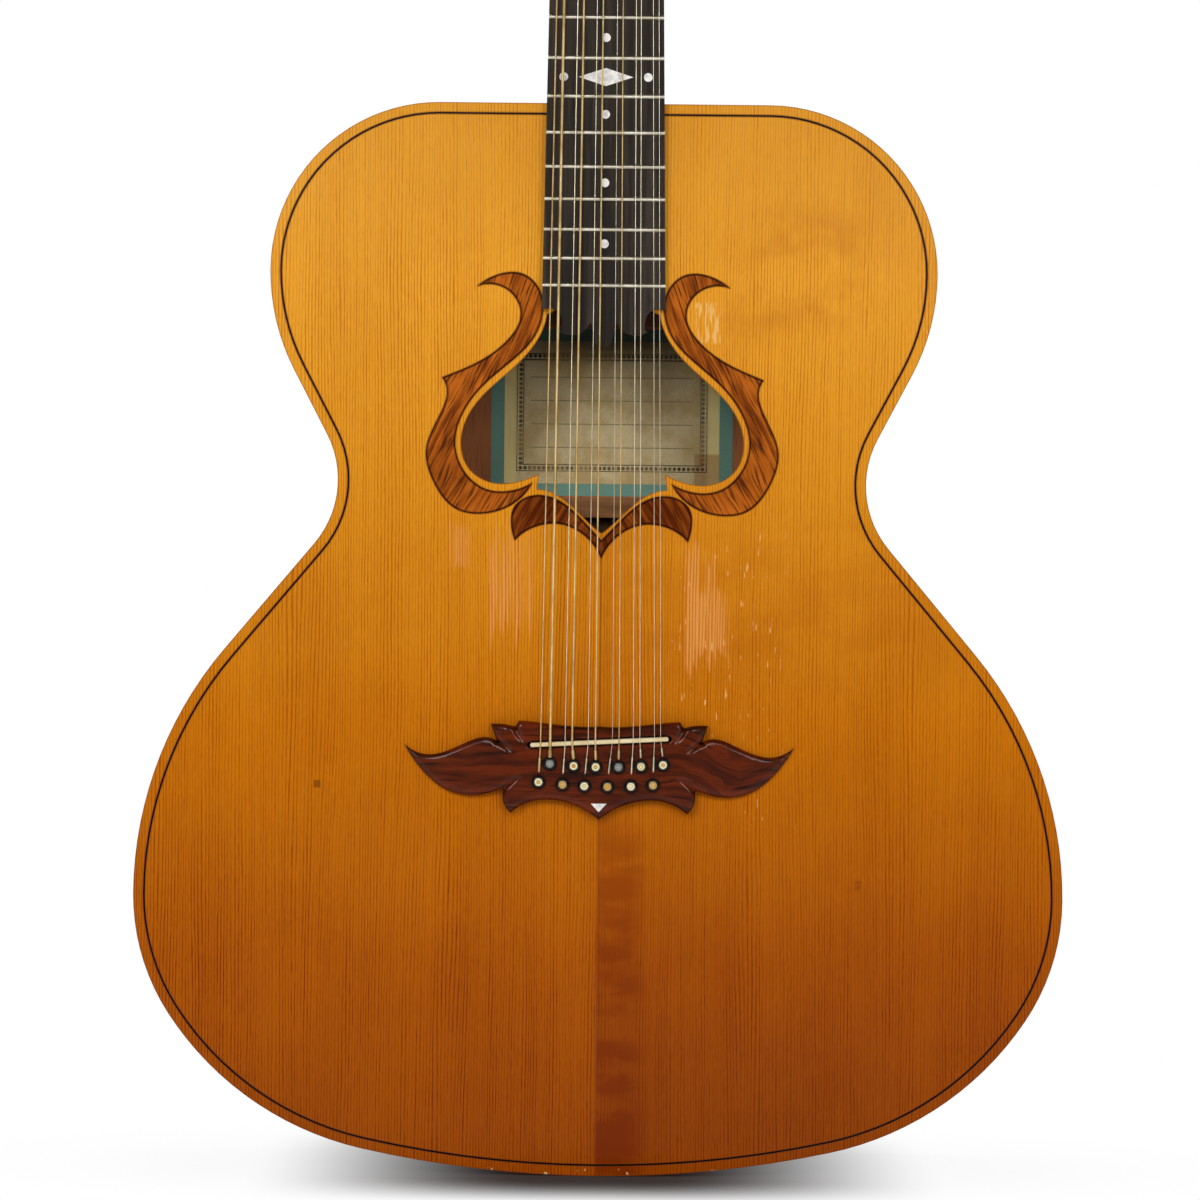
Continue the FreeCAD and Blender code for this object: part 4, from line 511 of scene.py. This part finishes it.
def rim(node, height):
    """The longest closed outline of a CAD node's flat face, as (x, z) points, at a height."""
    shape = bmesh.new()
    shape.from_mesh(nodes[node].data)
    bmesh.ops.remove_doubles(shape, verts=shape.verts, dist=0.001 * MM)
    level = soundboard_front - height
    flat = {face for face in shape.faces
            if all(abs(corner.co.y - level) < 0.01 * MM for corner in face.verts)}
    following = {}
    for face in flat:
        for loop in face.loops:
            if not any(other in flat for other in loop.edge.link_faces if other != face):
                following[loop.vert] = loop.link_loop_next.vert
    outlines = []
    while following:
        start, corner = following.popitem()
        outline = [start.co.xz, corner.co.xz]
        while corner in following:
            corner = following.pop(corner)
            outline.append(corner.co.xz)
        outlines.append([point.copy() for point in outline[:-1]])
    shape.free()
    return max(outlines, key=lambda outline: sum(
        (after - here).length for here, after in zip(outline, outline[1:])))


def evenly(line, step, closed=False):
    """The points of a line, with more between them where they lie further apart than a step."""
    ends = line[1:] + line[:1] if closed else line[1:]
    points = []
    for first, last in zip(line, ends):
        parts = max(1, round((last - first).length / step))
        points += [first.lerp(last, part / parts) for part in range(parts)]
    return points if closed else points + [line[-1]]


def nearest(points, line, closed=False):
    """How far each point is from a line, and how far along the line, from 0 to 1, its foot is."""
    ends = line[1:] + line[:1] if closed else line[1:]
    gaps = np.full(len(points), 1.0)
    along = np.zeros(len(points))
    points = np.array(points)
    for number, (first, last) in enumerate(zip(line, ends)):
        first, run = np.array(first), np.array(last - first)
        part = np.clip((points - first) @ run / max(run @ run, 1e-12), 0, 1)
        gap = np.linalg.norm(points - first - part[:, None] * run, axis=1)
        closer = gap < gaps
        gaps[closer] = gap[closer]
        along[closer] = (number + part[closer]) / len(ends)
    return gaps, along


bridge_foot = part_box("bridge")[0].z
bridge_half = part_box("bridge")[1].x
bridge_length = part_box("bridge")[1].z - bridge_foot
BRIDGE_THICK, TIP_THICK, WING_START = 9 * MM, 3.4 * MM, 46 * MM
ROUND_OVER = 2.4 * MM
# Knife cuts of the right half, from the edge inwards, in shares of its half width and its length
knife_shares = (
    ((0.527, 0.787), (0.490, 0.745), (0.452, 0.684)),
    ((0.436, 0.938), (0.418, 0.860), (0.392, 0.787)),
    ((0.494, 0.287), (0.472, 0.345), (0.446, 0.384), (0.415, 0.424)),
)
KNIFE_WIDE, KNIFE_DEEP = 1.9 * MM, 1.7 * MM
# The saddle's slot is a little longer than the saddle
SLOT_END, SLOT_WIDE, SLOT_DEEP = 34.4 * MM, 1.2 * MM, 4 * MM
SADDLE_SLANT = math.radians(3.0)
saddle_middle = (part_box("saddle")[0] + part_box("saddle")[1]) / 2
slot_reach = Vector((math.cos(SADDLE_SLANT), math.sin(SADDLE_SLANT))) * SLOT_END
slot_line = [saddle_middle.xz - slot_reach, saddle_middle.xz + slot_reach]


def carved_height(points, outline, cuts):
    """The height of the bridge's upper face over the soundboard at each point."""
    points = np.array(points)
    out = np.clip((abs(points[:, 0]) - WING_START) / (bridge_half - WING_START), 0, 1)
    drop = BRIDGE_THICK - TIP_THICK
    high = BRIDGE_THICK - 0.04 * MM - drop * (out + 1.2 * out * (1 - out))
    edge_gap, _ = nearest(points, outline, closed=True)
    inside = np.clip(edge_gap / ROUND_OVER, 0, 1)
    high -= ROUND_OVER * 0.9 * (1 - np.sqrt(1 - (1 - inside) ** 2))
    for cut in cuts:
        gap, along = nearest(points, cut)
        high -= KNIFE_DEEP * (1 - along ** 2) * np.clip(1 - gap / KNIFE_WIDE, 0, 1) ** 1.5
    gap, _ = nearest(points, slot_line)
    high -= SLOT_DEEP * (gap < SLOT_WIDE)
    return np.maximum(high, 0.5 * MM)


def carving_points(outline, cuts):
    """Points of the carved face: an even field, and closer rows along the slot, rim and cuts."""
    step = 1.0 * MM
    columns, rows = int(2 * bridge_half / step), int(bridge_length / step)
    field = [Vector((-bridge_half + (column + 0.5) * step, bridge_foot + (row + 0.5) * step))
             for column in range(columns) for row in range(rows)]
    edge_gap, _ = nearest(field, outline, closed=True)
    cut_gap = np.min([nearest(field, cut)[0] for cut in cuts], axis=0)
    slot_gap, _ = nearest(field, slot_line)
    field = [point for point, edge, cut, slot in zip(field, edge_gap, cut_gap, slot_gap)
             if edge > 1.1 * ROUND_OVER and cut > 1.1 * KNIFE_WIDE and slot > 1.5 * SLOT_WIDE]
    along = slot_reach.normalized()
    for wide in (0.96 * SLOT_WIDE, 1.04 * SLOT_WIDE):
        sideways = Vector((-along.y, along.x)) * wide
        for side in (-1, 1):
            field += evenly([end + sideways * side for end in slot_line], 1.5 * MM)
        for end, way in zip(slot_line, (-along, along)):
            field += [end + wide * Vector((way.x * math.cos(turn) - way.y * math.sin(turn),
                                           way.x * math.sin(turn) + way.y * math.cos(turn)))
                      for turn in np.radians((-60, -30, 0, 30, 60))]
    for share in (0.12, 0.3, 0.55, 0.85):
        inset = share * ROUND_OVER
        ring = []
        for before, here, after in zip(outline[-1:] + outline[:-1], outline, outline[1:] + outline[:1]):
            way = (after - before).normalized()
            ring += [here + Vector((-way.y, way.x)) * inset, here - Vector((-way.y, way.x)) * inset]
        gap, _ = nearest(ring, outline, closed=True)
        field += [point for point, edge in zip(ring, gap) if edge > 0.97 * inset]
    for cut in cuts:
        line = evenly(cut, 0.7 * MM)
        for before, here, after in zip(line[:1] + line[:-1], line, line[1:] + line[-1:]):
            way = (after - before).normalized()
            field += [here + Vector((-way.y, way.x)) * (share * KNIFE_WIDE)
                      for share in (-1, -0.66, -0.33, 0, 0.33, 0.66, 1)]
    return field


def carved_bridge():
    outline = evenly(rim("bridge", 0), 0.9 * MM, closed=True)
    cuts = [[Vector((side * across * bridge_half, bridge_foot + share * bridge_length))
             for across, share in cut] for side in (-1, 1) for cut in knife_shares]
    points = outline + carving_points(outline, cuts)
    boundary = list(range(len(outline)))
    flat, _, faces, *_ = delaunay_2d_cdt(points, [], [boundary], 1, 0.02 * MM)
    high = carved_height(flat, outline, cuts)
    shape = bmesh.new()
    upper = [shape.verts.new((x, soundboard_front - height, z))
             for (x, z), height in zip(flat, high)]
    lower = [shape.verts.new((x, soundboard_front, z)) for x, z in flat]
    for corners in faces:
        shape.faces.new([upper[corner] for corner in corners])
        shape.faces.new([lower[corner] for corner in reversed(corners)])
    below = dict(zip(upper, lower))
    for edge in [edge for edge in shape.edges if edge.is_boundary and edge.verts[0] in below]:
        first, last = edge.verts
        shape.faces.new((first, last, below[last], below[first]))
    return shape


def made(name, shape, body, slot, material):
    """A finished mesh, placed in the scene as a piece that rides a body."""
    bmesh.ops.recalc_face_normals(shape, faces=shape.faces)
    mesh = bpy.data.meshes.new(name)
    shape.to_mesh(mesh)
    shape.free()
    mesh.shade_smooth()
    mesh.materials.append(material)
    piece = bpy.data.objects.new(name, mesh)
    bpy.context.scene.collection.objects.link(piece)
    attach(piece, body)
    return piece


def bridge_rosewood():
    material, ground = finish("bridge_rosewood")
    point = ground.place()
    x, _, z = point.split()
    swirl = point.stretched(1, 0, 1.6).noise(26, 2)
    wild = x.ramp(36 * MM, 66 * MM) * (20 * MM) + 6 * MM
    lines = ground.node("CombineXYZ", {}, {0: x * 0.10, 1: 0.0, 2: z + swirl * wild})
    bands = lines.noise(230, 3, 0.6)
    pores = point.stretched(0.08, 1, 1).noise(1300, 2)
    colour = bands.ramp(0.34, 0.66).mix(paint(60, 18, 2), paint(103, 36, 4))
    ink = lines.noise(330, 1)
    colour = (ink.ramp(0.58, 0.68) * 0.8).mix(colour, paint(38, 12, 2))
    colour = (pores.ramp(0.56, 0.72) * 0.4).mix(colour, paint(48, 16, 2))
    tip = abs(x).ramp(70 * MM, 96 * MM)
    colour = (tip * 0.35).mix(colour, paint(60, 32, 18))
    # Painted shade in the knife cuts and round the pins and the saddle, darkest where the surface is
    # most hemmed in
    close = ground.node("AmbientOcclusion", {"samples": 8}, {"Distance": 1.8 * MM}, out="AO")
    colour = close.ramp(0.92, 0.55).mix(colour, paint(14, 8, 5))
    ground.shader(colour, 0.14 + pores * 0.05, pores, 0.01 * MM, Specular_IOR_Level=0.16)
    return material


bridge = made("bridge_carved", carved_bridge(), "root", "rosewood", bridge_rosewood())
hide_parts("bridge")

# Bridge pins: black pegs, turned with a round head, each with a dot of shell or brass in it.
# They are pushed into tapered holes and hold the ball ends of the strings under the bridge.


def pin_black():
    material, ground = finish("pin_black")
    turned = ground.place().noise(1200, 2)
    ground.shader(turned.mix(paint(5, 4, 4), paint(14, 12, 11)), 0.16 + turned * 0.1,
                  turned, 0.01 * MM, Specular_IOR_Level=0.3)
    return material


dress(pin_black(), "bridge_pins")


def islands(piece):
    """The middle of each loose part of a CAD node."""
    shape = bmesh.new()
    shape.from_mesh(piece.data)
    bmesh.ops.remove_doubles(shape, verts=shape.verts, dist=0.001 * MM)
    left = set(shape.verts)
    middles = []
    while left:
        part, edge = set(), [left.pop()]
        while edge:
            corner = edge.pop()
            part.add(corner)
            fresh = {line.other_vert(corner) for line in corner.link_edges} & left
            left -= fresh
            edge += fresh
        middles.append(sum((corner.co for corner in part), Vector()) / len(part))
    shape.free()
    return middles


dot_places = sorted(islands(nodes["bridge_pin_dots"]), key=lambda place: place.x)


def pin_dots():
    material, ground = finish("pin_dots")
    point = ground.place()
    x, _, z = point.split()
    clouds = point.noise(900, 2)
    cream, grey, brass = (236, 224, 178), (120, 124, 126), (196, 152, 78)
    # The outside and the middle of each dot, from the bass side to the treble side
    dots = ((cream, (206, 176, 104)), (grey, (150, 154, 156)), (brass, (214, 176, 104)),
            (cream, (200, 138, 62)), (cream, (226, 212, 160)), (cream, (204, 172, 96)),
            (brass, (206, 164, 84)), (grey, (146, 150, 152)), (cream, (240, 232, 200)),
            ((222, 204, 156), (232, 216, 168)), (brass, (214, 178, 108)), (cream, (208, 176, 108)))
    low, high = dot_places[0].x - 3 * MM, dot_places[-1].x + 3 * MM
    starts = [low] + [(here.x + after.x) / 2 for here, after in zip(dot_places, dot_places[1:])]
    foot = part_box("bridge_pin_dots")[0].z
    share = (x - low) / (high - low)
    span = 100 * MM

    def for_each_dot(values):
        """A value that changes between one dot and the next."""
        stops = tuple(((start - low) / (high - low), value) for start, value in zip(starts, values))
        return share.node("ValToRGB", {"stops": stops, "ramp": "CONSTANT"}, {0: share})

    centre = for_each_dot([((place.x - low) / (high - low), (place.z - foot) / span, 0, 1)
                           for place in dot_places])
    centre_x, centre_z, _ = centre.split()
    off_x = (share - centre_x) * (high - low)
    off_z = z - foot - centre_z * span
    away = (off_x * off_x + off_z * off_z) ** 0.5
    colour = away.ramp(0.85 * MM, 1.05 * MM).mix(
        for_each_dot([paint(*middle) for _, middle in dots]),
        for_each_dot([paint(*outside) for outside, _ in dots]))
    line = away.ramp(0.75 * MM, 0.85 * MM) * away.ramp(1.1 * MM, 1.0 * MM)
    colour = (line * 0.35).mix(colour, paint(96, 70, 36))
    colour = (clouds.ramp(0.4, 0.7) * 0.3).mix(colour, paint(176, 150, 100))
    ground.shader(colour, 0.3, Specular_IOR_Level=0.3)
    return material


dress(pin_dots(), "bridge_pin_dots")

# Tuning machines: stamped plates, turned posts and worm shafts, all plated with nickel.
# A moulded cream button sits on each shaft, and screws hold the plates to the back of the head.

dress(metal("machine_nickel", (206, 202, 192), (158, 152, 138), 0.22),
      "tuner_plates", "tuner_bushings", *(f"tuner_post_{number}" for number in range(1, 13)))
dress(metal("screw_nickel", (190, 184, 172), (138, 130, 116), 0.3), "wood_screws")


def cream_button():
    material, ground = finish("button_cream")
    point = ground.place()
    x, _, _ = point.split()
    clouds = point.noise(260, 3)
    button_foot = 40.5 * MM
    shaft = abs(x).ramp(button_foot, button_foot - 0.5 * MM)
    colour = clouds.mix(paint(232, 220, 184), paint(208, 190, 146))
    colour = shaft.mix(colour, paint(196, 190, 178))
    ground.shader(colour, 0.24 + clouds * 0.08, Metallic=shaft)
    return material


dress(cream_button(), *(f"tuner_key_{number}" for number in range(1, 13)))

# Truss rod: a steel rod in a channel of the neck, under the fretboard.
# A brass nut on its thread at the head draws the neck straight against the strings.

dress(metal("rod_steel", (150, 150, 152), (110, 110, 112), 0.4), "truss_rod")
dress(metal("nut_brass", (206, 168, 96), (160, 122, 60), 0.3), "truss_rod_nut")

# Strings: six pairs, drawn tight between the bridge pins and the posts of the tuning machines.
# The thick ones are steel wound with bronze wire, and the thin ones plain steel.


def wire(name, bright, dull, turns):
    """A core wound with wire, whose turns are counted to the metre."""
    material, ground = finish(name)
    point = ground.place()
    _, _, z = point.split()
    winding = z.wave(1 / turns)
    tarnish = point.noise(70, 3)
    colour = tarnish.ramp(0.4, 0.7).mix(paint(*bright), paint(*dull))
    colour = (winding.ramp(0.2, -1) * 0.4).mix(colour, paint(*(part * 0.5 for part in dull)))
    ground.shader(colour, 0.3, winding, 0.03 * MM, Metallic=0.7)
    return material


dress(wire("bronze_winding", (246, 214, 150), (206, 170, 104), 2200), "wound_strings")
dress(metal("string_steel", (236, 226, 196), (208, 196, 166), 0.28), "plain_strings")

# String ends: near its pin each string is lashed with a close twist of wire, and at the head it is
# wound round its post, up from the hole. The windings turn with the posts.


def tube(shape, line, radius, sides):
    """A round wire along a line of points, closed at both ends."""
    turned = None
    rings = []
    for before, here, after in zip(line[:1] + line[:-1], line, line[1:] + line[-1:]):
        way = (after - before).normalized()
        side = turned if turned else way.orthogonal()
        turned = (side - way * side.dot(way)).normalized()
        other = way.cross(turned)
        rings.append([shape.verts.new(here + (turned * math.cos(step) + other * math.sin(step))
                                      * radius)
                      for step in np.arange(sides) * (2 * math.pi / sides)])
    for ring, following in zip(rings, rings[1:]):
        for first, last in zip(range(sides), list(range(1, sides)) + [0]):
            shape.faces.new((ring[first], ring[last], following[last], following[first]))
    shape.faces.new(reversed(rings[0]))
    shape.faces.new(rings[-1])


def coil(start, axis_foot, axis, way, pitch, turns):
    """Points of a helix about an axis, from a start point that sets off along a way."""
    arm = start - axis_foot
    arm -= axis * arm.dot(axis)
    spin = 1 if axis.cross(arm).dot(way) > 0 else -1
    sides = 20
    return [start + axis * (pitch * step / sides) - arm
            + Matrix.Rotation(spin * 2 * math.pi * step / sides, 3, axis) @ arm
            for step in range(int(turns * sides) + 1)]


THICKEST, STRINGS_WIDE, STRINGS_OFF_CENTRE = 1.37 * MM, 58.9 * MM, 0.6 * MM
SADDLE_HIGH, BEND_HIGH, BEND_FROM_PIN = 12.2 * MM, 7.4 * MM, 1.9 * MM
LASHING_WIRE, LASHING_GAP, LASHING_START, LASHING_SHARE = 0.17 * MM, 0.25 * MM, 1.0 * MM, 0.58
POST_REACH = 4.2 * MM
nut_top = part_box("nut")[1].z
string_ends = [corner.co for name in ("wound_strings", "plain_strings")
               for corner in nodes[name].data.vertices if corner.co.z > nut_top]


def lashing_line(dot, saddle_x, radius):
    """The twist of wire round a string, from its bend over the pin towards the saddle."""
    crest = Vector((saddle_x, soundboard_front - SADDLE_HIGH - radius,
                    saddle_middle.z + math.tan(SADDLE_SLANT) * saddle_x))
    bend = Vector((dot.x, soundboard_front - BEND_HIGH, dot.z + BEND_FROM_PIN))
    way = (crest - bend).normalized()
    start = bend + way * LASHING_START
    arm = way.orthogonal().normalized() * (radius + LASHING_GAP)
    length = (crest - bend).length * LASHING_SHARE - LASHING_START
    pitch = 2.3 * LASHING_WIRE
    return [start + way * reach + Matrix.Rotation(reach / pitch * 2 * math.pi, 3, way) @ arm
            for reach in np.linspace(0, length, int(length / pitch * 10))]


def winding_line(post, radius, turns):
    """A string's turns round its post, on from where the CAD string ends, and its cut tail."""
    joint = next(held for held in frame["joints"] if held["child"] == post)
    foot, axis = Vector(joint["pos_m"]), Vector(joint["axis"]).normalized()
    near = [corner for corner in string_ends
            if (corner - foot - axis * (corner - foot).dot(axis)).length < POST_REACH]
    end = sum(near, Vector()) / len(near)
    line = coil(end, foot, axis, Vector((0, 0, 1)), 2.15 * radius, turns)
    tail_way = (line[-1] - line[-2]).normalized()
    return line + [line[-1] + tail_way * 1.0 * MM, line[-1] + tail_way * 2.2 * MM,
                   line[-1] + tail_way * 3.4 * MM]


# How thick each string is, in shares of the thickest, and where it crosses the saddle, in shares of
# the way from the first string to the last
thickness_shares = (0.504, 1.0, 0.336, 0.781, 0.263, 0.591, 0.182, 0.423, 0.277, 0.277, 0.204, 0.204)
saddle_shares = (0.0, 0.080, 0.205, 0.263, 0.397, 0.457, 0.599, 0.654, 0.772, 0.827, 0.949, 1.0)
bronze, steel = nodes["wound_strings"].material_slots[0], nodes["plain_strings"].material_slots[0]
lashings = {False: bmesh.new(), True: bmesh.new()}
for number, (share, across, dot) in enumerate(zip(thickness_shares, saddle_shares, dot_places), 1):
    radius = share * THICKEST / 2
    wound = share > 0.4
    saddle_x = (across - 0.5) * STRINGS_WIDE + STRINGS_OFF_CENTRE
    tube(lashings[wound], lashing_line(dot, saddle_x, radius), LASHING_WIRE, 6)
    turns = 1.75 if share > 0.7 else 2.5 if wound else 3.5
    winding = bmesh.new()
    tube(winding, winding_line(f"post_{number}", radius, turns), radius, 10)
    made(f"winding_{number}", winding, f"post_{number}", "bronze_wire" if wound else "steel_wire",
         (bronze if wound else steel).material)

made("lashings_bronze", lashings[True], "root", "bronze_wire", bronze.material)
made("lashings_steel", lashings[False], "root", "steel_wire", steel.material)

# Floor: a pale cloth that the guitar's tail rests on. It fades into the white beyond it.
# Its soft shadow is worked out from the distance to the tail, and the lamps' shadow adds to it.

bpy.ops.mesh.primitive_plane_add(size=8)
floor = bpy.context.object
floor.name = "floor"
floor.location.z = min(corner[2] for corner in cad_box) - 0.2 * MM


def white_cloth():
    material, ground = finish("white_cloth")
    point = ground.place()
    x, y, _ = point.split()
    weave = point.noise(700, 2)
    rays = ground.node("LightPath", out="Is Camera Ray")
    seen = rays + rays.output("Is Glossy Ray") + rays.output("Is Transmission Ray")
    cloth = ground.node("BsdfDiffuse", {}, {"Color": weave.mix(paint(244, 243, 242),
                                                               paint(252, 252, 252))})
    # The soft shadow of lamps set high over the guitar, deepest under the middle of its tail
    soft = (abs(x).ramp(175 * MM, 20 * MM) * (soundboard_front - y).ramp(125 * MM, 10 * MM)
            * y.ramp(170 * MM, 60 * MM))
    deep = 1 - (1 - soft) ** 1.75
    shade = ground.node("Emission", {}, {"Color": deep.mix(paint(255, 255, 255),
                                                           paint(34, 24, 20))})
    reach = ground.node("VectorMath", {"operation": "LENGTH"}, {0: point.stretched(0.8, 1.6, 1)},
                        out="Value")
    shown = seen * (reach.ramp(100 * MM, 340 * MM) * 0.08 + 0.92)
    mixed = ground.node("MixShader", {}, {0: shown, 1: cloth, 2: shade})
    ground.node("OutputMaterial", {}, {"Surface": mixed})
    return material


floor.data.materials.append(white_cloth())

# Light: a plain level from all round, two wide soft lamps in front of the guitar, at its left and
# right as for copying a picture, one over it and one behind it. Glossy rays meet white only behind
# the guitar.

room = bpy.data.worlds.new("studio")
bpy.context.scene.world = room
room.use_nodes = True
room.node_tree.nodes.clear()
room.cycles.sampling_method = "NONE"
air = Signal(room.node_tree)
_, away, _ = air.node("TexCoord", out="Generated").split()
seen = air.node("LightPath", out="Is Camera Ray")
mirrored = seen.output("Is Glossy Ray") + seen.output("Is Transmission Ray")
strength = seen + mirrored * (away.ramp(-0.2, 0.4) * 0.93 + 0.07) + (1 - seen - mirrored) * 0.18
studio = air.node("Background", {}, {"Color": paint(255, 255, 255), "Strength": strength})
air.node("OutputWorld", {}, {"Surface": studio})


def lamp(name, place, aim, width, power):
    """A square lamp. Its place and width are in metres, and its power in watts."""
    light = bpy.data.lights.new(name, "AREA")
    light.size, light.energy = width, power
    stand = bpy.data.objects.new(name, light)
    stand.location = place
    stand.rotation_euler = (Vector(aim) - Vector(place)).to_track_quat("-Z", "Y").to_euler()
    bpy.context.scene.collection.objects.link(stand)


middle = (0.0, 0.0, 0.3)
lamp("left", (-0.75, -2.5, 1.05), middle, 0.8, 24)
lamp("right", (0.75, -2.5, 1.00), middle, 0.8, 18.5)
lamp("over", (-0.1, 0.5, 2.4), middle, 0.8, 16)
lamp("behind", (0.3, 2.2, 1.2), middle, 1.6, 24)

# Camera: square to the soundboard, level with the middle of the picture and rolled a little.
# The picture is 1200 pixels wide, and a pixel is 0.493 mm at the soundboard.

PIXEL = 0.493 * MM
PICTURE_WIDTH = 1200 * PIXEL
PICTURE_MIDDLE_X, PICTURE_MIDDLE_Z = -0.37 * MM, 283.97 * MM
CAMERA_DISTANCE = 2.5
ROLL = math.radians(0.577)
camera = bpy.data.objects.new("camera", bpy.data.cameras.new("camera"))
bpy.context.scene.collection.objects.link(camera)
right = (math.cos(ROLL), 0, math.sin(ROLL))
up = (-math.sin(ROLL), 0, math.cos(ROLL))
camera.matrix_world = Matrix((right, up, (0, -1, 0))).transposed().to_4x4()
camera.location = (PICTURE_MIDDLE_X, soundboard_front - CAMERA_DISTANCE, PICTURE_MIDDLE_Z)
camera.data.sensor_width = 36
camera.data.lens = camera.data.sensor_width * CAMERA_DISTANCE / PICTURE_WIDTH
bpy.context.scene.camera = camera
bpy.context.scene.view_settings.view_transform = "Standard"
